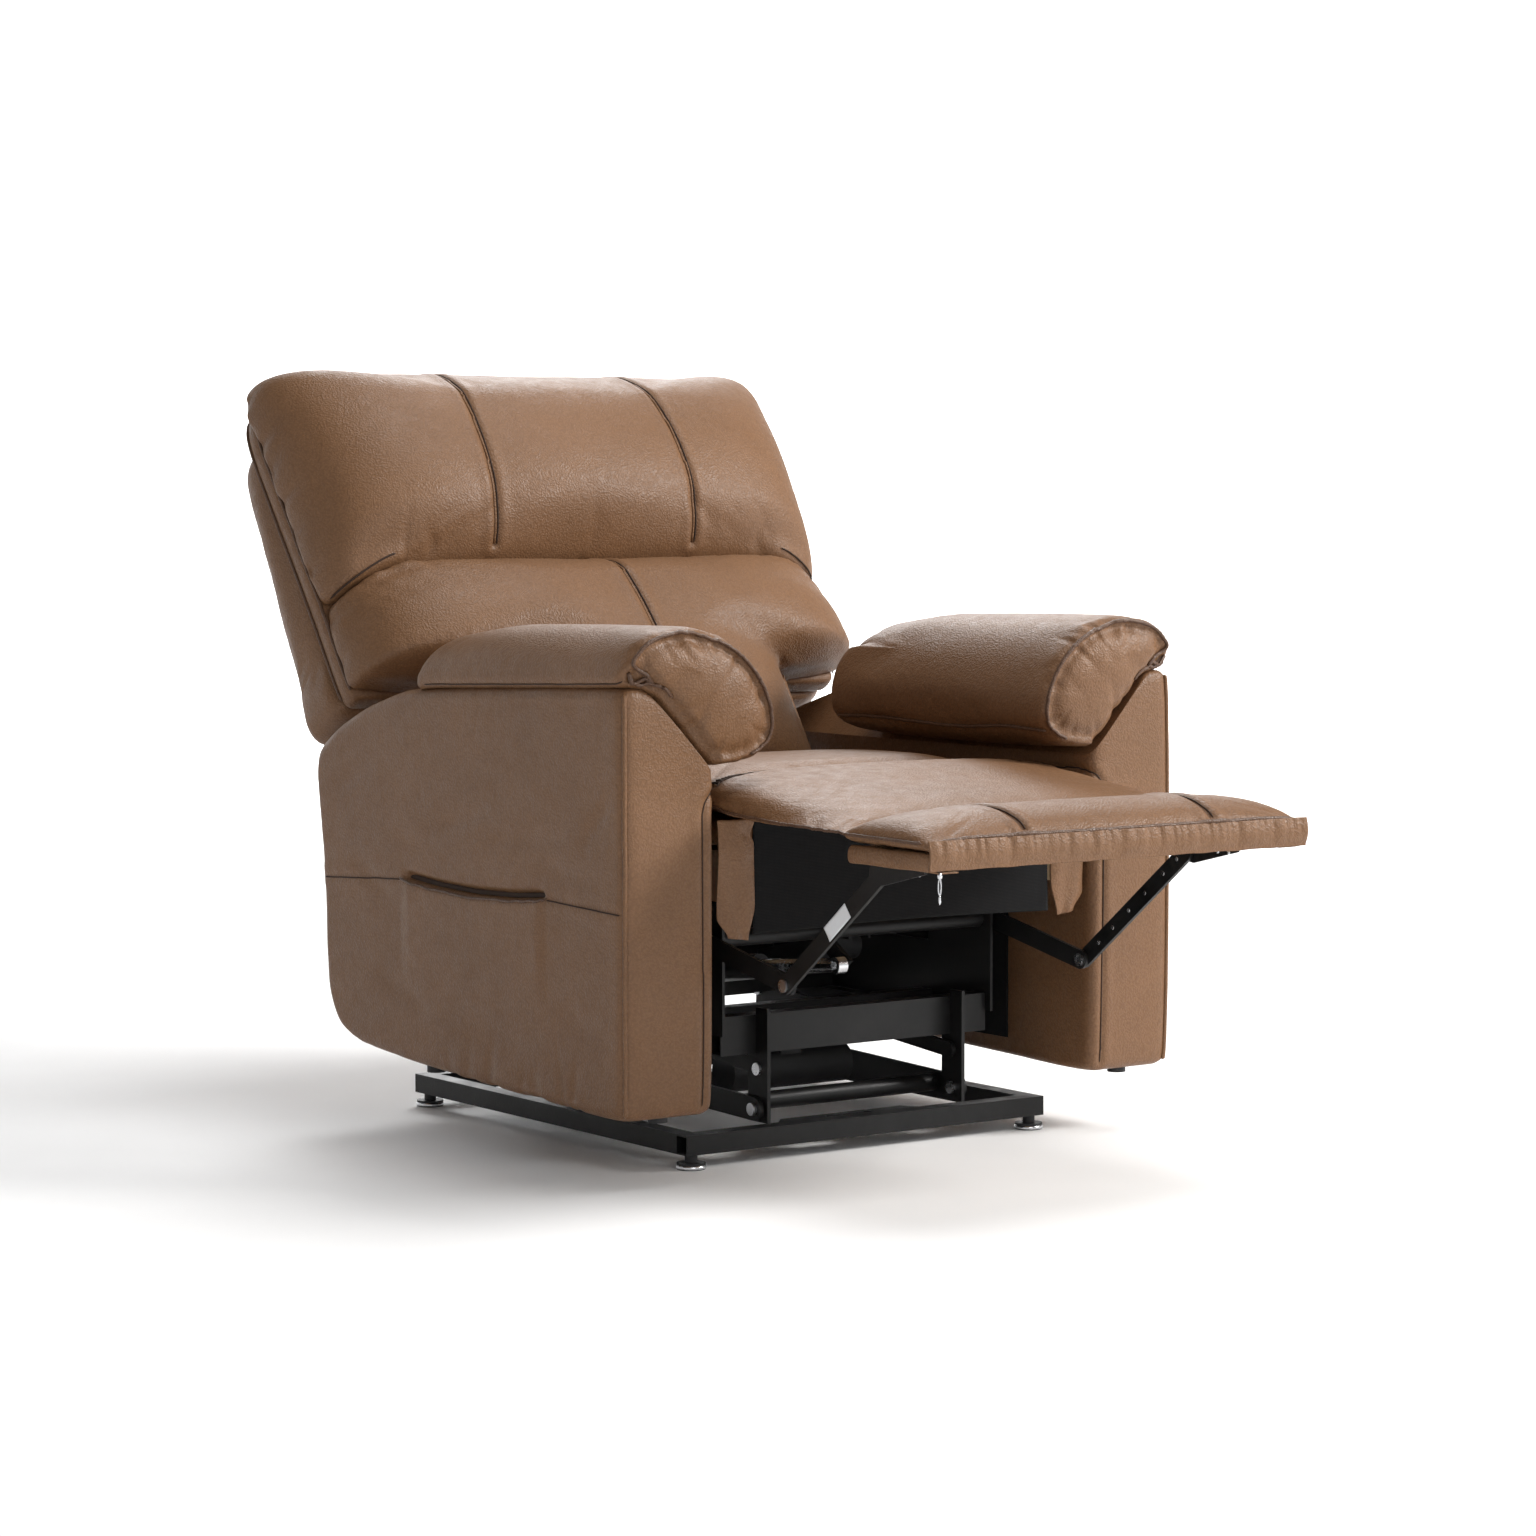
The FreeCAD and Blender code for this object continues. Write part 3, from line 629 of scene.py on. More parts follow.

# a thin dark cord beside each seam is painted shade in its groove; a leather cord on the seam makes its ridge
cords, ridges = [], []
for thing, path in ((head, head_paths[0]), (head, head_paths[1]), (lumbar, lumbar_path)):
    cords.append(cord(thing, path + np.array((0.0026, 0, 0)), 0.0002, 0.0011, SEAM_SHADE, 6))
    ridges.append(cord(thing, path, 0.0002, 0.0018, HIDE))
# dark cords under both ends of the crease: painted shade
head_tree = surface(head)
for sign in (-1, 1):
    on = []
    for x in np.linspace(0.318, 0.408, 40):
        start = Vector((sign * x, -0.2, float(dropped(np.array([x]), np.array([0.3665]))[0]) + 0.004))
        spot = head_tree.ray_cast(start, Vector((0, 1, 0)))[0]
        if spot is not None:
            on.append(np.array(spot) + np.array([0, 0.0012, -0.0042]))
    cords.append(tube("end_seam_shade", on, 0.0013, SEAM_SHADE, 6))

# side band that closes the frame between the cushions and the outer shell
BAND = [(0.192, 0.392), (0.212, 0.401), (0.35, 0.404), (0.5, 0.41), (0.6, 0.413), (0.64, 0.408),
        (0.66, 0.396), (0.669, 0.374)]


def slab_ring(half, front, rear, u, radius):
    """Rounded rectangle across the back at height u."""
    count = 96
    corners = [(-half, -front), (half, -front), (half, rear), (-half, rear)]
    points = []
    for (cx, cy), (sx, sy) in zip(corners, ((1, 1), (-1, 1), (-1, -1), (1, -1))):
        points += [(cx + sx * radius * a, cy + sy * radius * b) for a, b in
                   (((0, 1), (0.3, 0.3), (1, 0)) if sx * sy > 0 else ((1, 0), (0.3, 0.3), (0, 1)))]
    ring = closed_loop(points, count, 2)
    return np.column_stack((ring, np.full(count, u)))


def back_slab(name, rows, radius, smooth=4):
    spread = line(np.array(rows, float), 240)
    rings = [slab_ring(*[float(np.interp(u, spread[:, 0], spread[:, k])) for k in (1, 2, 3)], u, radius)
             for u in np.linspace(rows[0][0], rows[-1][0], 60)]
    item = remesh(loft(name, rings, HIDE), 0.005)
    relax(item, smooth)
    return item


band = back_slab("back_side_band", [(u, half, 0.004, 0.034) for u, half in BAND], 0.006)
shell = back_slab("back_shell_cover", [
    (-0.056, 0.246, -0.031, 0.128), (-0.045, 0.251, -0.03, 0.136), (0.15, 0.252, -0.03, 0.137),
    (0.186, 0.254, -0.03, 0.137), (0.196, 0.396, -0.03, 0.137), (0.3, 0.398, -0.03, 0.138),
    (0.45, 0.398, -0.03, 0.124), (0.58, 0.398, -0.03, 0.107), (0.612, 0.394, -0.03, 0.098),
    (0.626, 0.384, -0.031, 0.084), (0.632, 0.368, -0.034, 0.066)], 0.02, smooth=6)
inflate(shell, 0.006, pressure=1.5, frames=12, hold=lambda p: smoothstep(-p[:, 1], -0.06, -0.032))
subdivide(shell)
subdivide(band)

back_cords = []
for sign in (-1, 1):
    for depth, lift in ((0.004, 0.0022), (-0.031, 0.0015)):
        path = np.array([(sign * (table(u, BAND[1:])[0] + 0.001), -depth, u)
                         for u in np.linspace(0.205, 0.662, 80)])
        back_cords.append(cord(band, path, lift, 0.0024))
back_cords.append(cord(band, np.array([(x, -0.004, 0.67) for x in np.linspace(-0.36, 0.36, 60)]), 0.002, 0.0024))
for sign in (-1, 1):
    path = np.array([(sign * 0.38, 0.16, u) for u in np.linspace(0.215, 0.6, 60)])
    back_cords.append(cord(shell, path, 0.001, 0.0022))
back_cords.append(cord(shell, np.array([(x, 0.16, 0.6) for x in np.linspace(-0.38, 0.38, 60)]), 0.001, 0.0022))

# the dark seam cords as one object: painted shade
back_seam_shade = joined("back_seam_shade_lines", cords)
back_ridges = joined("back_seam_ridges", ridges)
back_piping = joined("back_piping", back_cords)
gussets = []
x = np.linspace(0.246, 0.2875, 10)
for sign in (-1, 1):
    grid = [level_row(sign * x, -0.024 + 0.006 * np.sin(math.pi * (x - 0.246) / 0.0415) * math.sin(11 * u + 1), u)
            for u in np.linspace(-0.046, 0.188, 30)]
    gussets.append(sheet("gusset", grid, 0.004, HIDE))
gusset = joined("back_side_gussets", gussets)
for item in (head, lumbar, band, shell, back_seam_shade, back_ridges, back_piping, gusset):
    mapped(item, BACK)
placed(head, "back_part", replaces=("back_cushion_head",))
placed(lumbar, "back_part", replaces=("back_cushion_lumbar",))
placed(band, "back_part", replaces=("back_frame_wings",))
placed(shell, "back_part", replaces=("back_shell",))
for item in (back_seam_shade, back_ridges, back_piping, gusset):
    placed(item, "back_part")

# ---- arms ------------------------------------------------------------------------------------

SIDE = [(-0.3, 0.078), (-0.024, 0.086), (0.146, 0.092), (0.3, 0.102), (0.374, 0.11), (0.419, 0.141),
        (0.433, 0.205), (0.432, 0.314), (0.45, 0.419), (0.457, 0.479), (0.438, 0.503), (0.358, 0.544),
        (0.266, 0.571), (0.19, 0.586), (-0.3, 0.606)]


def outward_normals(ring):
    """Unit normals of a flat closed loop, in its own plane."""
    tangent = np.roll(ring, -1, 0) - np.roll(ring, 1, 0)
    tangent /= np.linalg.norm(tangent, axis=1, keepdims=True)
    return np.stack((tangent[:, 1], -tangent[:, 0]), 1)


def arm_outline(inset):
    """Side view of the arm box, tight at the front corners and easy at the rear."""
    dense = []
    for i, point in enumerate(SIDE):
        ahead, behind = np.array(SIDE[(i + 1) % len(SIDE)]), np.array(SIDE[i - 1])
        point = np.array(point)
        sharp = i in (0, len(SIDE) - 1)
        for other in (behind, ahead):
            step = other - point
            reach = np.linalg.norm(step)
            dense.append(point + step * min(0.012 / reach if sharp else 0.33, 0.45))
    ring = closed_loop(dense, 220, 2)
    return ring - outward_normals(ring) * inset


def slope_top(x, y):
    """Top of the arm box under the pillow: falls from the outer strip to the inner side."""
    outer = 0.606 - 0.0408 * (y + 0.3)
    return np.minimum(outer, 0.499 + (x - 0.299) * 1.09)


def arm_box(name):
    stations = [(0.2945, 0.012), (0.297, 0.006), (0.302, 0.002), (0.31, 0.0)]
    stations += [(x, 0.0) for x in np.linspace(0.32, 0.412, 9)]
    stations += [(0.419, 0.0012), (0.424, 0.0036), (0.4272, 0.0075), (0.429, 0.013)]
    outlines = [(x, arm_outline(inset)) for x, inset in stations]
    rings = [level_row(x, ring[:, 0], ring[:, 1]) for x, ring in outlines]
    item = remesh(loft(name, rings, HIDE, cap_rings=16), 0.0055)
    points = get_points(item)
    cap = slope_top(points[:, 0], points[:, 1])
    over = points[:, 2] > cap - 0.004
    points[:, 2] = np.where(over, np.minimum(points[:, 2], cap), points[:, 2])
    set_points(item, points)
    relax(item, 4)
    return item


arm = arm_box("arm_left_cover")
inflate(arm, 0.007, pressure=1.6, frames=14, hold=lambda p: np.maximum(
    smoothstep(0.31 - p[:, 0], 0.0, 0.012), smoothstep(p[:, 2] - slope_top(p[:, 0], p[:, 1]), -0.03, -0.005)))
arm_right = mirrored_copy(arm, "arm_right_cover")
subdivide(arm)
subdivide(arm_right)


def side_creases(item):
    """Soft sag folds on the right arm's outer side."""
    points, normals = get_points(item), get_normals(item)
    flat = points[:, 1:]
    outer = smoothstep(-points[:, 0], 0.405, 0.425)
    fold = 0
    for y0, z0, y1, z1, depth, width in (
            (-0.16, 0.415, 0.02, 0.4, 0.003, 0.013), (0.0, 0.44, 0.16, 0.405, 0.0028, 0.012),
            (-0.21, 0.37, -0.08, 0.377, 0.0024, 0.011), (0.14, 0.38, 0.26, 0.39, 0.0022, 0.012),
            (-0.26, 0.175, -0.14, 0.205, 0.003, 0.016), (-0.1, 0.14, 0.1, 0.16, 0.0026, 0.016),
            (0.16, 0.17, 0.3, 0.215, 0.0028, 0.016), (0.24, 0.3, 0.36, 0.36, 0.0026, 0.016),
            (-0.28, 0.48, -0.2, 0.4, 0.0026, 0.012), (0.3, 0.48, 0.4, 0.44, 0.0024, 0.014)):
        a, b = np.array([y0, z0]), np.array([y1, z1])
        step = b - a
        t = np.clip((flat - a) @ step / (step @ step), 0, 1)
        gap = np.linalg.norm(flat - a - t[:, None] * step, axis=1)
        fold = fold + depth * np.exp(-(gap / width) ** 2) * np.sin(math.pi * np.clip(t * 0.9 + 0.05, 0, 1))
    set_points(item, points - normals * (fold * outer)[:, None])


side_creases(arm_right)

# side pocket: an open slit in the right arm with a lip that sags under it
MOUTH = np.array([(-0.435, -0.128, 0.339), (-0.435, -0.04, 0.3315), (-0.435, 0.05, 0.329),
                  (-0.435, 0.14, 0.331), (-0.435, 0.226, 0.337)])


def mouth_z(y):
    return np.interp(y, MOUTH[:, 1], MOUTH[:, 2])


def open_mouth(item):
    """Pushes a dark slit into the arm above the sagging pocket edge."""
    points = get_points(item)
    y, z = points[:, 1], points[:, 2]
    ends = smoothstep(y, -0.13, -0.105) * (1 - smoothstep(y, 0.196, 0.228))
    gap = z - (mouth_z(y) + 0.002)
    slit = np.where(gap > 0, np.exp(-(gap / 0.0065) ** 2), np.exp(-(gap / 0.0028) ** 2)) * ends
    below = smoothstep(-gap, 0.0, 0.012) * (1 - smoothstep(-gap, 0.05, 0.17)) * ends
    outer = smoothstep(-points[:, 0], 0.4, 0.422)
    points[:, 0] += 0.015 * slit * outer - 0.004 * below * outer
    set_points(item, points)


open_mouth(arm_right)


def arm_lines(label, item, side):
    """Piping where the side panel meets the front, with a thin dark cord beside it as painted shade, and along the
    pocket mouth on the right arm.
    """
    front = np.array([(side * (0.4275 + 0.0004 * math.sin(z * 61)), -0.2985, z)
                      for z in np.linspace(0.084, 0.598, 120)])
    placed(cord(item, front, 0.0014, 0.0029, HIDE, 10, name=f"arm_{label}_front_piping"), "chair_body")
    # thin dark cord just behind the front piping: painted shade line
    out = [cord(item, front + np.array([0, 0.0045, 0]), 0.0001, 0.0011, PIPING_SHADE, 6)]
    if side < 0:
        out.append(cord(item, line(MOUTH, 60), 0.0006, 0.0016))
    return joined(f"arm_{label}_piping", out)


# dark strip inside the pocket slit: painted shade in the pocket mouth
y = np.linspace(-0.116, 0.214, 90)
grid = [level_row(-0.4195 - 0.0015 * t, y, mouth_z(y) + 0.0062 - 0.0056 * t) for t in np.linspace(0, 1, 8)]
placed(sheet("arm_right_pocket_shade_strip", grid, 0.001, SEAM_SHADE), "chair_body")
for item, side in ((arm_right, -1), (arm, 1)):
    edge = np.array([(side * 0.43, y, 0.088 + 0.02 * (y + 0.3)) for y in np.linspace(-0.22, 0.12, 60)])
    tucks(item, edge, 0.048, 0.052, 0.0042, seed=31, front=0.002)
    edge = np.array([(side * 0.43, y, 0.59 - 0.04 * (y + 0.3)) for y in np.linspace(-0.24, 0.1, 60)])
    tucks(item, edge, 0.09, 0.04, 0.0014, seed=33)
arm_piping_and_shade = [arm_lines("left", arm, 1), arm_lines("right", arm_right, -1)]

# seam that carries on level from both ends of the pocket mouth; the thin dark cord under its groove is painted
# shade
arm_seam_shades = []
for y0, y1 in ((-0.29, -0.128), (0.226, 0.424)):
    path = np.array([(-0.432, y, np.interp(y, (-0.29, -0.128, 0.226, 0.42), (0.334, 0.339, 0.337, 0.325)))
                     for y in np.linspace(y0, y1, 60)])
    carve(arm_right, path, 0.0018, 0.004, swell=0.0008)
    arm_seam_shades.append(cord(arm_right, path + np.array((0, 0, -0.002)), 0.0003, 0.001, SEAM_SHADE, 6))
arm_seam_shade_lines = joined("arm_right_seam_shade_lines", arm_seam_shades)

# ---- arm pillows -----------------------------------------------------------------------------

PILLOW = [(0.429, 0.603), (0.4295, 0.62), (0.422, 0.642), (0.4, 0.664), (0.365, 0.674), (0.325, 0.674),
          (0.282, 0.661), (0.24, 0.631), (0.213, 0.59), (0.205, 0.552), (0.213, 0.526), (0.243, 0.509),
          (0.29, 0.504), (0.303, 0.506), (0.345, 0.552), (0.388, 0.599)]


def pillow(name):
    ring = closed_loop(PILLOW, 150, 3)
    centre = ring.mean(0)
    stations = [(-0.3085, 0.72), (-0.308, 0.86), (-0.3055, 0.945), (-0.299, 0.985), (-0.29, 1.0)]
    stations += [(y, 1.0) for y in np.linspace(-0.27, 0.13, 26)]
    stations += [(0.148, 0.992), (0.162, 0.965), (0.173, 0.91), (0.181, 0.82), (0.186, 0.68)]
    corner = np.array([0.424, 0.59])
    rings = []
    for y, size in stations:
        hub = corner if y > 0 else centre
        row = hub + (ring - hub) * size
        fall = 0.04 * (y + 0.3)
        row[:, 1] -= fall * np.clip((row[:, 0] - 0.3) / 0.11, 0, 1) * (row[:, 1] < 0.625)
        row[:, 1] -= (0.6 * fall + 0.01 * smoothstep(np.array([y]), 0.02, 0.17)[0]) * (row[:, 1] >= 0.625)
        rings.append(level_row(row[:, 0], y, row[:, 1]))
    item = remesh(loft(name, rings, HIDE, cap_rings=14), 0.005)
    relax(item, 3)
    return item


cushion = pillow("arm_left_pillow")
inflate(cushion, 0.008, pressure=3.0, frames=16, hold=lambda p: np.maximum(
    smoothstep(0.03 - (p[:, 2] - slope_top(p[:, 0], p[:, 1])), 0, 0.02) * (p[:, 0] > 0.295),
    smoothstep(p[:, 0], 0.424, 0.4285)))
subdivide(cushion)


# line round the pillow's front end, shrunk towards its middle
rim = closed_loop(PILLOW, 200, 3)
rim = rim - outward_normals(rim) * 0.0075
rim = level_row(rim[:, 0], -0.3075, rim[:, 1])
rim = np.roll(rim, -int(np.argmin(np.abs(rim[:, 0] - 0.4) + np.abs(rim[:, 2] - 0.615))), axis=0)


def end_panel(item):
    """Sinks the panel inside the front piping and gathers the leather round it."""
    points = get_points(item)
    centre = rim[:, [0, 2]].mean(0)
    flat, ring = points[:, [0, 2]] - centre, rim[:, [0, 2]] - centre
    ring_angle, radius = np.arctan2(ring[:, 1], ring[:, 0]), np.hypot(ring[:, 0], ring[:, 1])
    order = np.argsort(ring_angle)
    edge = np.interp(np.arctan2(flat[:, 1], flat[:, 0]), ring_angle[order], radius[order], period=2 * math.pi)
    share = np.hypot(flat[:, 0], flat[:, 1]) / np.maximum(edge, 1e-6)
    front = smoothstep(-points[:, 1], 0.275, 0.3)
    sink = np.exp(-((share - 0.9) / 0.1) ** 2) * 0.0045 - np.clip(1 - (share / 0.75) ** 2, 0, 1) * 0.001
    points[:, 1] += sink * front
    height = points[:, 2] - slope_top(points[:, 0], points[:, 1])
    points[:, 1] += 0.014 * (1 - smoothstep(height, 0.0, 0.03)) * front * (points[:, 0] > 0.29)
    set_points(item, points)
    tucks(item, rim, 0.026, 0.03, 0.003, seed=21, front=0.003)
    tucks(item, rim, 0.06, 0.05, 0.003, seed=22, front=0.004)


end_panel(cushion)
tucks(cushion, np.array([(0.39, 0.16, 0.6), (0.3, 0.166, 0.63), (0.22, 0.16, 0.58)]), 0.035, 0.035,
      0.0035, seed=26)
# groove along the pillow's lower edge, with a thin dark cord in it as painted shade
pillow_seam = np.array([(0.4315, y, 0.604 - 0.04 * (y + 0.3)) for y in np.linspace(-0.3, 0.165, 80)])
carve(cushion, pillow_seam, 0.003, 0.0045, swell=0.001)
pillow_seam_shade = cord(cushion, pillow_seam, 0.0002, 0.001, SEAM_SHADE, 6, name="arm_left_pillow_lines")
order = np.argsort(np.arctan2(rim[:, 2] - 0.58, rim[:, 0] - 0.33))
loop = rim[order]
turn_at = np.arctan2(loop[:, 2] - 0.58, loop[:, 0] - 0.33)
arc = loop[(turn_at > 0.12) & (turn_at < math.pi)]
tail = loop[turn_at < -2.45]
arc = line(np.vstack((arc[::6], tail[::6])), 170)
pillow_piping = cord(cushion, arc, 0.0014, 0.0024, name="arm_left_pillow_piping")

twin = mirrored_copy(cushion, "arm_right_pillow_cover")
twin_seam_shade = mirrored_copy(pillow_seam_shade, "arm_right_pillow_lines")
twin_piping = mirrored_copy(pillow_piping, "arm_right_pillow_piping")

low_inner = np.array([(0.214 + 0.003 * math.sin(y * 34), y, 0.524 + 0.004 * math.sin(y * 21))
                      for y in np.linspace(-0.296, 0.15, 90)])


low_cords = []
for side, thing, label in ((1, cushion, "left"), (-1, twin, "right")):
    path = low_inner * np.array([side, 1, 1])
    carve(thing, path, 0.003, 0.006, swell=0.001)
    low_cords.append(cord(thing, path, 0.0013, 0.0021, name=f"arm_{label}_pillow_low_piping"))

placed(arm, "chair_body", replaces=("arm_body_left",))
placed(arm_right, "chair_body", replaces=("arm_body_right", "arm_pocket_panel"))
placed(cushion, "chair_body", replaces=("arm_pillow_left",))
placed(twin, "chair_body", replaces=("arm_pillow_right",))
for item in (*arm_piping_and_shade, arm_seam_shade_lines, pillow_seam_shade, pillow_piping, twin_seam_shade, twin_piping, *low_cords):
    placed(item, "chair_body")

# double stitched seam down each arm's front face, turning in under the pillow; the thin dark cord in its groove is
# painted shade
for side, thing, label in ((1, arm, "left"), (-1, arm_right, "right")):
    path = line([(0.312, -0.305, 0.092), (0.313, -0.305, 0.25), (0.314, -0.305, 0.42), (0.312, -0.303, 0.455),
                 (0.3, -0.29, 0.472), (0.294, -0.262, 0.476), (0.292, -0.2, 0.474), (0.292, -0.1, 0.47)], 120)
    path[:, 0] *= side
    on = laid_on(surface(thing), path)
    carve(thing, on, 0.0022, 0.0038, swell=0.0008)
    placed(cord(thing, on, 0.0003, 0.001, SEAM_SHADE, 6, name=f"arm_{label}_front_seam_shade"), "chair_body")

# ---- seat ------------------------------------------------------------------------------------


def pad_ring(y, half, low, high, upper=2.6, side=4.5, split=0.42):
    """Crowned section across the seat at y: full above the side seam, flatter below it."""
    under, count = 5.0, 110
    middle = low + (high - low) * split
    turn = np.linspace(0, 2 * math.pi, count, endpoint=False)
    c, s = np.cos(turn), np.sin(turn)
    x = half * np.sign(c) * np.abs(c) ** (2 / side)
    top = middle + (high - middle) * np.abs(s) ** (2 / upper)
    bottom = middle - (middle - low) * np.abs(s) ** (2 / under)
    return np.stack((x, np.full(count, y), np.where(s >= 0, top, bottom)), 1)


SEAT = [(-0.284, 0.276, 0.412, 0.43), (-0.28, 0.279, 0.405, 0.437), (-0.265, 0.281, 0.4, 0.441),
        (-0.235, 0.283, 0.4, 0.442), (-0.208, 0.283, 0.4, 0.446), (-0.194, 0.283, 0.4, 0.47),
        (-0.186, 0.283, 0.4, 0.478), (-0.16, 0.283, 0.4, 0.483), (0.0, 0.283, 0.4, 0.482),
        (0.11, 0.283, 0.4, 0.476), (0.14, 0.282, 0.4, 0.468), (0.153, 0.279, 0.405, 0.45)]
rings = [pad_ring(*row) for row in line(SEAT, 90)]
seat = remesh(loft("seat_cushion_cover", rings, HIDE, cap_rings=14), 0.006)
relax(seat, 3)
inflate(seat, 0.01, pressure=2.5, frames=14, hold=lambda p: np.maximum(
    smoothstep(0.425 - p[:, 2], 0.0, 0.02), smoothstep(-p[:, 1], 0.19, 0.205)))
subdivide(seat)
placed(seat, "chair_body", replaces=("seat_cushion",))

# pad that carries on from the seat over the footrest board
PAD = [(-0.1935, 0.262, 0.448, 0.471), (-0.1955, 0.268, 0.446, 0.477), (-0.203, 0.2745, 0.444, 0.4815),
       (-0.222, 0.281, 0.444, 0.484), (-0.255, 0.2845, 0.444, 0.484), (-0.3, 0.285, 0.44, 0.479),
       (-0.345, 0.285, 0.437, 0.473), (-0.4, 0.285, 0.4365, 0.464), (-0.46, 0.285, 0.4365, 0.457),
       (-0.505, 0.2845, 0.4365, 0.452), (-0.524, 0.284, 0.436, 0.4475), (-0.534, 0.2835, 0.434, 0.448),
       (-0.548, 0.284, 0.43, 0.456), (-0.575, 0.285, 0.4262, 0.4655), (-0.62, 0.286, 0.4262, 0.469),
       (-0.658, 0.286, 0.4262, 0.4665), (-0.682, 0.286, 0.4262, 0.46), (-0.698, 0.286, 0.4262, 0.45),
       (-0.706, 0.286, 0.4265, 0.443), (-0.7085, 0.2855, 0.428, 0.44)]
rings = [pad_ring(*row, upper=2.3, side=5.5, split=0.3) for row in line(PAD, 130)]
pad = remesh(loft("footrest_pad_cover", rings, HIDE, cap_rings=14), 0.0045)
relax(pad, 2)
inflate(pad, 0.01, pressure=2.5, frames=14, hold=lambda p: np.maximum(np.maximum(
    smoothstep(0.446 - p[:, 2], 0.0, 0.008) * (p[:, 1] > -0.53),
    smoothstep(0.436 - p[:, 2], 0.0, 0.006)), np.exp(-((p[:, 1] + 0.529) / 0.01) ** 2)))
subdivide(pad)


across = np.array([(x, -0.53 + 0.003 * math.sin(x * 9), 0.5) for x in np.linspace(-0.272, 0.272, 120)])
across = laid_on(surface(pad), across)
carve(pad, across, 0.0035, 0.007, swell=0.0015)
shorts = []
for side in (-1, 1):
    path = line([(side * 0.16, -0.538, 0.47), (side * 0.152, -0.58, 0.48), (side * 0.146, -0.63, 0.48),
                 (side * 0.143, -0.68, 0.47), (side * 0.143, -0.704, 0.455)], 60)
    on = laid_on(surface(pad), path)
    carve(pad, on, 0.004, 0.0045, swell=0.0022)
    shorts.append(on)
for side in (-1, 1):
    for x, z, y0, y1, count, spacing, reach, depth, seed in (
            (0.287, 0.449, -0.225, -0.515, 90, 0.055, 0.04, 0.0024, 41),
            (0.287, 0.44, -0.545, -0.7, 60, 0.04, 0.03, 0.0022, 44),
            (0.285, 0.452, -0.5, -0.56, 20, 0.03, 0.055, 0.004, 47)):
        edge = np.array([(side * x, y, z) for y in np.linspace(y0, y1, count)])
        tucks(pad, edge, spacing, reach, depth, seed=seed + side)
front_edge = np.array([(x, -0.707, 0.445) for x in np.linspace(-0.283, 0.283, 160)])
tucks(pad, front_edge, 0.03, 0.018, 0.0016, seed=51)
tucks(pad, across, 0.075, 0.04, 0.0018, seed=53)
back_edge = np.array([(x, -0.224 - 0.03 * (abs(x) / 0.276) ** 6, 0.496)
                      for x in np.linspace(-0.276, 0.276, 160)])
carve(pad, laid_on(surface(pad), back_edge), 0.0022, 0.005, swell=0.0016)
# thin dark cords beside the short seams: painted shade in their grooves
pad_seam_shade = joined("footrest_pad_seams", [cord(pad, on + np.array([0.0024, 0, 0]), 0.0002, 0.001, SEAM_SHADE, 6)
                                          for on in shorts])
cords = [cord(pad, front_edge, 0.0012, 0.0024)]
for side in (-1, 1):
    edge = line([(side * 0.286, -0.212, 0.45), (side * 0.288, -0.3, 0.447), (side * 0.288, -0.42, 0.444),
                 (side * 0.287, -0.515, 0.442), (side * 0.286, -0.545, 0.44), (side * 0.288, -0.6, 0.4395),
                 (side * 0.288, -0.69, 0.439)], 150)
    cords.append(cord(pad, edge, 0.001, 0.0019))
pad_piping = joined("footrest_pad_piping", cords)
# thin dark cord along the seat's back edge: painted shade in its groove
pad_back_shade = cord(pad, back_edge, 0.0005, 0.0014, SEAM_SHADE, name="seat_pad_seam_shade")
placed(pad, None, replaces=("footrest_pad",))
for item in (pad, pad_piping):
    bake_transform(item)
placed(pad_seam_shade, "footrest")
placed(pad_back_shade, "chair_body")


# ---- sheets ----------------------------------------------------------------------------------

def gathers(x, spacing, seed):
    """Height of the small folds along a gathered edge."""
    local = np.random.default_rng(seed)
    out = np.zeros_like(x)
    place = x.min()
    while place < x.max():
        out += local.uniform(0.4, 1.0) * np.exp(-((x - place) / (spacing * local.uniform(0.22, 0.38))) ** 2)
        place += spacing * local.uniform(0.6, 1.4)
    return out


strip_x = np.linspace(-0.2865, 0.2865, 420)
folds = gathers(strip_x, 0.015, 61)
wide = gathers(strip_x, 0.045, 62)
rows = []
for t in np.linspace(0, 1, 26):
    fade = math.exp(-(t / 0.55) ** 2)
    hem = math.exp(-((t - 1) / 0.16) ** 2)
    z = 0.4425 - 0.0345 * t - 0.001 * wide * t
    bow = 0.003 * math.sin(math.pi * min(t * 1.1, 1))
    y = -0.7095 - bow + 0.0026 * folds * fade + 0.0026 * wide * (1 - hem)
    rows.append(level_row(strip_x, y + 0.0012 * hem, z))
placed(sheet("footrest_front_strip", rows, 0.0022, HIDE), "footrest")

# leather wrapped under both sides of the footrest board
SIDES = ((-1, "right"), (1, "left"))
y = np.linspace(-0.707, -0.552, 60)
for side, label in SIDES:
    wave = 0.0015 * np.sin(np.linspace(0, 11, 60) + side)
    grid = []
    for t in np.linspace(0, 1, 22):
        x = 0.2745 + (0.01 + wave) * math.sin(math.pi * t) - 0.03 * max(0, t - 0.72) / 0.28
        grid.append(level_row(side * x, y, 0.4255 - 0.019 * smoothstep(t, 0.15, 0.85) + wave * 0.3))
    placed(sheet(f"footrest_side_wrap_{label}", grid, 0.0018, HIDE), "footrest")

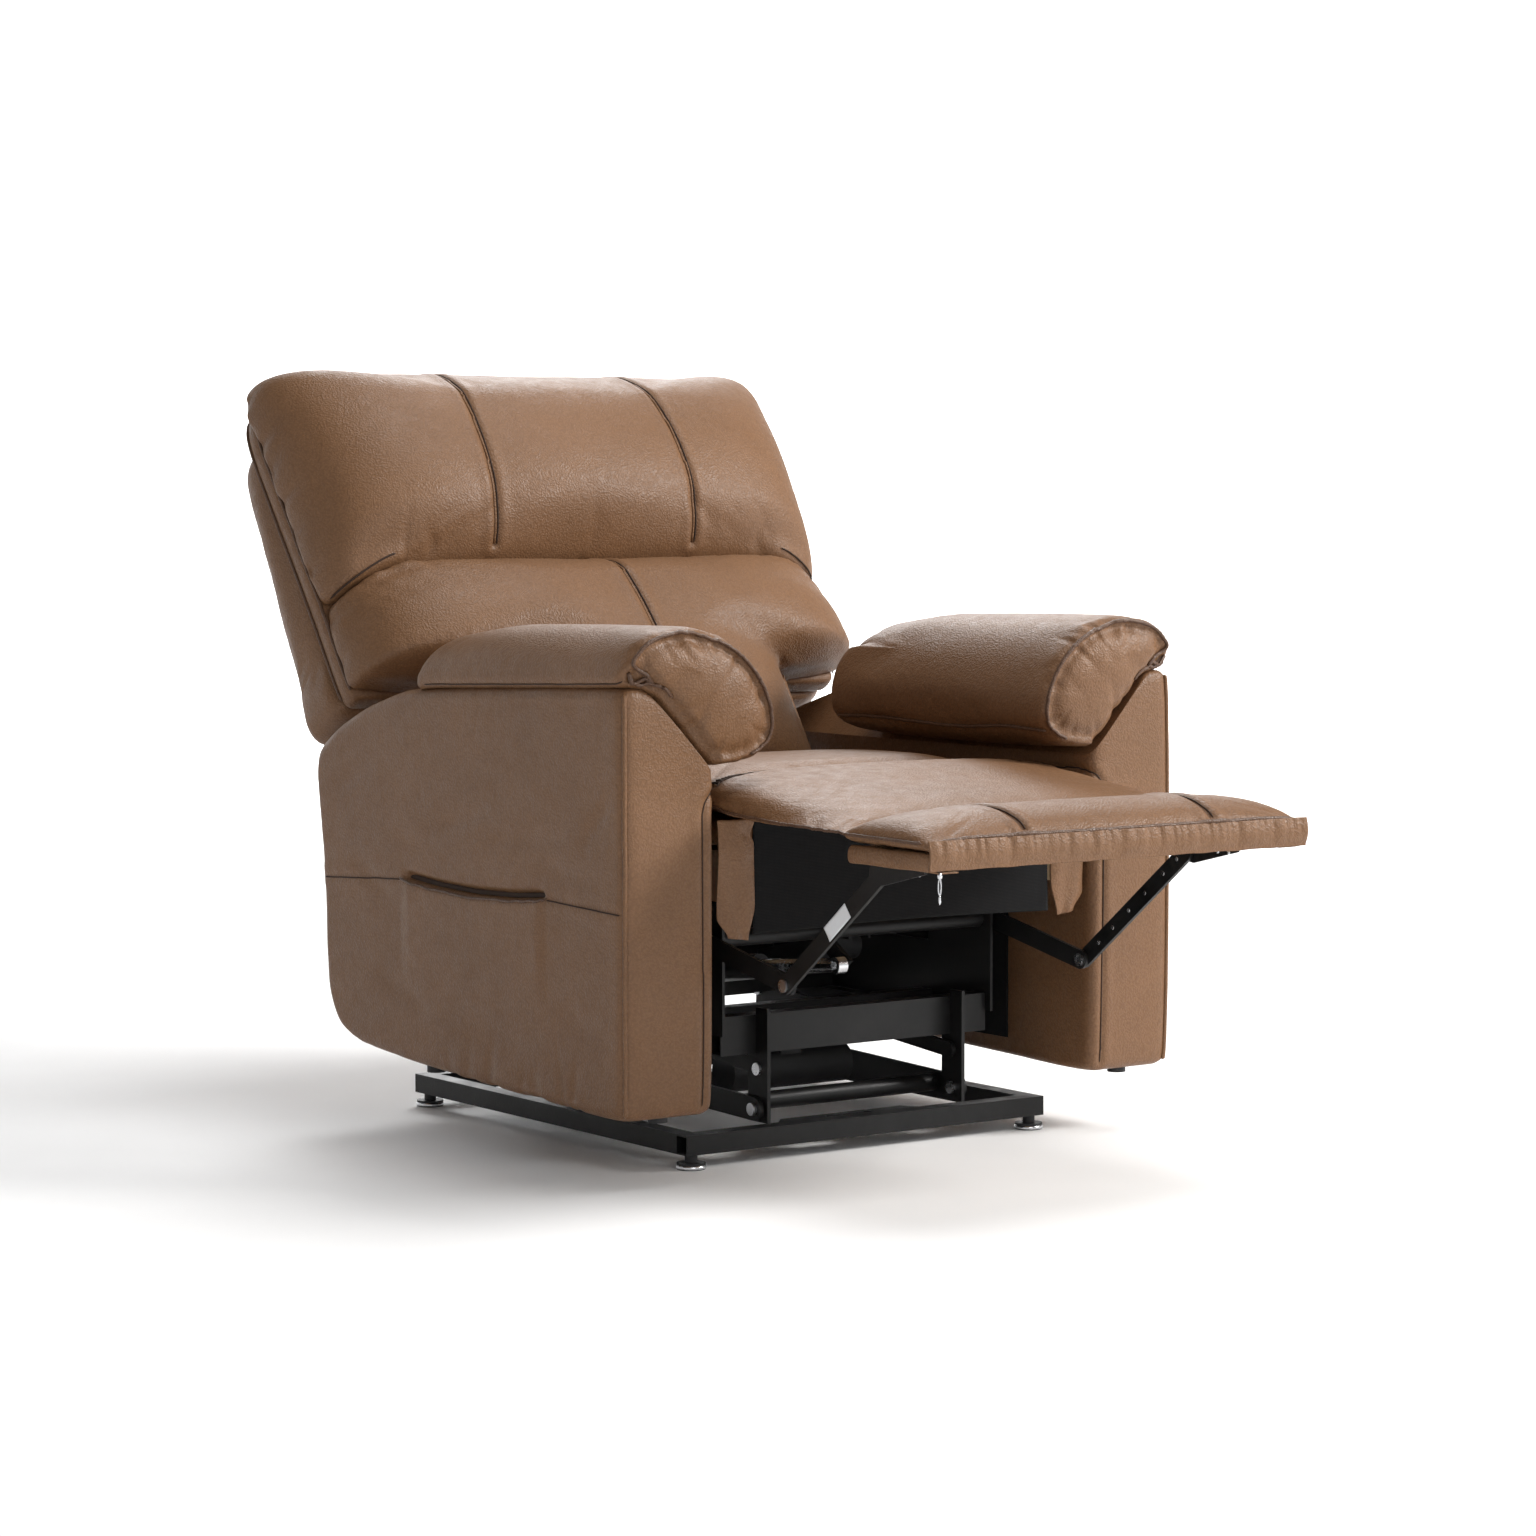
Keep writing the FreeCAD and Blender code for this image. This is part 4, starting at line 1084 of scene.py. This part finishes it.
# black cloth hung behind the footrest, and the leather flaps at its sides
cloth_x, cloth_z = np.linspace(-0.231, 0.231, 130), np.linspace(0.4365, 0.298, 50)
grid = []
for z in cloth_z:
    down = (0.4365 - z) / 0.1385
    y = -0.2866 - 0.0012 * down * np.sin(cloth_x * 31) - 0.001 * np.sin(cloth_x * 13 + down * 3)
    grid.append(level_row(cloth_x, y, z + 0.002 * down * np.cos(cloth_x * 11)))
cloth = placed(sheet("seat_front_cloth_sheet", grid, 0.0012, LINING), "chair_body",
               replaces=("seat_front_cloth",))
grid = []
x = np.linspace(-0.2905, 0.2905, 150)
for t in np.linspace(0, 1, 40):
    y = 0.405 + 0.003 * np.sin(x * 17) * math.sin(math.pi * t) + 0.0025 * math.sin(9 * t) * np.cos(x * 29)
    grid.append(level_row(x, y, 0.262 - 0.144 * t + 0.0015 * t * np.sin(x * 12)))
dust = placed(sheet("rear_dust_cloth_sheet", grid, 0.0012, LINING), "chair_body",
              replaces=("rear_dust_cloth",))
u = np.linspace(0, 1, 40)
for side, label in SIDES:
    grid = []
    for t in np.linspace(0, 1, 60):
        tuck = 0.01 * smoothstep(t, 0.7, 1.0) + 0.006 * math.exp(-((t - 0.12) / 0.05) ** 2)
        x = 0.2335 + tuck * (1 - u) + (0.054 - 0.016 * smoothstep(t, 0.82, 1.0)) * u
        y = -0.2895 - 0.0022 * np.sin(math.pi * u) - 0.0015 * math.sin(t * 7) * u + 0.0012 * np.sin(u * 9 + t * 5)
        grid.append(level_row(side * x, y, 0.438 - 0.146 * t + 0.004 * t * (u - 0.5)))
    flap = placed(sheet(f"seat_front_flap_{label}", grid, 0.002, HIDE), "chair_body",
                  replaces=("seat_front_flaps",) if side < 0 else ())

# ---- small parts -----------------------------------------------------------------------------


def lathe(name, profile, matrix, sides=28):
    """Turned zinc part from (radius, height) pairs."""
    turns = [2 * math.pi * k / sides for k in range(sides)]
    verts = [(r * math.cos(turn), r * math.sin(turn), z) for r, z in profile for turn in turns]
    return mapped(ringed(name, verts, sides, ZINC), matrix)


# zip puller hanging below the front corner of the footrest cover
slider = lathe("slider", [(0.0008, 0.0), (0.0026, 0.001), (0.003, 0.004), (0.0022, 0.007), (0.0008, 0.008)],
               Matrix.Translation((-0.272, -0.708, 0.399)))
puller = []
for t in np.linspace(0, 1, 24):
    turn = 2 * math.pi * t
    puller.append((-0.272 + 0.002 * math.cos(turn), -0.708, 0.3905 + 0.0095 * math.sin(turn)))
ring = tube("ring", puller[:-1], 0.0007, ZINC, 8, closed=True)
tag = tube("tag", [(-0.272, -0.708, 0.3815), (-0.2722, -0.7082, 0.378), (-0.2718, -0.708, 0.373),
                   (-0.272, -0.708, 0.37)], 0.0015, ZINC, 8)
placed(joined("footrest_zip_pull", [slider, ring, tag]), "footrest")

# plain white label on the near upper link, rivet heads, bright foot ends
knee, tip = np.array([-0.357, 0.24]), np.array([-0.549, 0.392])
lean = math.atan2(tip[1] - knee[1], -(tip[0] - knee[0]))
grid = []
u = np.linspace(-1, 1, 10)
for t in np.linspace(-1, 1, 16):
    along, over = 0.0265 * t, 0.01 * u
    grid.append(level_row(-0.2368 - 0.0003 * math.cos(3 * t) * np.cos(2 * u),
                          -0.4655 - along * math.cos(lean) + over * math.sin(lean),
                          0.3264 + along * math.sin(lean) + over * math.cos(lean)))
placed(sheet("link_label", grid, 0.0004, LABEL), "footrest_links_high")
DOME = [(0.0046, 0.0), (0.0044, 0.001), (0.0034, 0.002), (0.0016, 0.0027), (0.0003, 0.0029)]
link_spots = [(0.2315, *(knee + (tip - knee) * share)) for share in (0.16, 0.3, 0.46, 0.62, 0.8, 0.93)]
bracket_spots = [(0.2372, y, 0.396) for y in (-0.585, -0.605, -0.625)]
for name, body, spots, wide, tall in (("footrest_link_rivet_heads", "footrest_links_high", link_spots, 0.62, 0.15),
                                      ("footrest_bracket_rivet_heads", "footrest", bracket_spots, 0.7, 0.6)):
    heads = []
    for side in (-1, 1):
        inward = Matrix.Rotation(math.radians(-90 * side), 4, "Y")
        for x, y, z in spots:
            heads.append(lathe("head", [(r * wide, h * tall) for r, h in DOME],
                               Matrix.Translation((side * x, y, z)) @ inward, 16))
    placed(joined(name, heads), body)
ends = []
for x in (-0.268, 0.268):
    for y in (-0.204, 0.425):
        ends.append(lathe("end", [(0.012, 0.0001), (0.0186, 0.0008), (0.019, 0.0026), (0.0184, 0.0048),
                                  (0.0172, 0.0056), (0.012, 0.006)], Matrix.Translation((x, y, 0)), 40))
placed(joined("levelling_foot_rims", ends), "base")

# ---- camera, floor, light --------------------------------------------------------------------

shot = bpy.data.cameras.new("photo_camera")
shot.sensor_width, shot.lens, shot.clip_start, shot.clip_end = 36.0, 94.92, 0.05, 60.0
camera = bpy.data.objects.new("photo_camera", shot)
scene.collection.objects.link(camera)
azimuth, pitch, roll = (math.radians(v) for v in (35.4317, 4.0437, 0.0722))
forward = Vector((math.sin(azimuth) * math.cos(pitch), math.cos(azimuth) * math.cos(pitch), -math.sin(pitch)))
right = Vector((math.cos(azimuth), -math.sin(azimuth), 0.0))
upward = right.cross(forward)
turn = Matrix.Rotation(roll, 3, forward)
right, upward = turn @ right, turn @ upward
axes = Matrix((right, upward, -forward)).transposed().to_4x4()
camera.matrix_world = Matrix.Translation((-3.0627, -4.2969, 0.8462)) @ axes
scene.camera = camera

floor_mat, tree, bsdf, place = new_material("studio_floor")
mottle = add(tree, "ShaderNodeTexNoise", Vector=place, Scale=3.0, Detail=4.0).outputs["Fac"]
plug(tree, bsdf, Base_Color=ramp(tree, mottle, ((0.3, (0.9, 0.9, 0.9)), (0.7, (0.93, 0.93, 0.93)))),
     Roughness=0.85, Specular_IOR_Level=0.15)
verts, faces = [], []
profile = [(-11.0, 0.0), (-3.0, 0.0), (1.5, 0.0)] + \
    [(7.5 + 3.0 * math.sin(a), 3.0 - 3.0 * math.cos(a)) for a in np.linspace(0, math.pi / 2, 24)] + [(10.5, 9.0)]
for x in np.linspace(-14, 16, 13):
    verts += [(x, y, z - 0.0005) for y, z in profile]
for i in range(12):
    for k in range(len(profile) - 1):
        a = i * len(profile) + k
        faces.append((a, a + len(profile), a + len(profile) + 1, a + 1))
make_object("studio_sweep", verts, faces, floor_mat)


def area_light(name, spot, target, size, power, colour=(1, 1, 1)):
    lamp = bpy.data.lights.new(name, "AREA")
    lamp.shape, lamp.size, lamp.energy, lamp.color = "DISK", size, power, colour
    item = bpy.data.objects.new(name, lamp)
    scene.collection.objects.link(item)
    item.location = spot
    item.rotation_euler = (Vector(target) - Vector(spot)).to_track_quat("-Z", "Y").to_euler()


area_light("key", (3.4, -2.9, 3.1), (0, -0.05, 0.35), 2.0, 310, (1.0, 0.985, 0.965))
area_light("fill", (-1.4, -4.8, 2.2), (0, 0, 0.4), 2.4, 40, (0.99, 0.99, 1.0))
area_light("top", (0.5, -0.2, 4.2), (0, 0, 0.3), 2.0, 75)
area_light("floor_light", (3.6, 5.2, 5.2), (4.0, 5.8, 0.0), 4.0, 420)
area_light("sweep_light", (6.4, 4.0, 4.2), (6.6, 10.5, 1.0), 4.0, 900)
world = bpy.data.worlds.new("studio")
world.use_nodes = True
sky = world.node_tree
height = sky.nodes.new("ShaderNodeSeparateXYZ")
sky.links.new(sky.nodes.new("ShaderNodeTexCoord").outputs["Generated"], height.inputs[0])
glow = level(sky, height.outputs["Z"], 0.16, 0.34, 0.95, 0.19)
sky.links.new(glow, sky.nodes["Background"].inputs["Strength"])
sky.nodes["Background"].inputs["Color"].default_value = (1.0, 1.0, 1.0, 1)
scene.world = world
scene.view_settings.view_transform = "Standard"
scene.view_settings.look = "None"

bpy.context.view_layer.update()
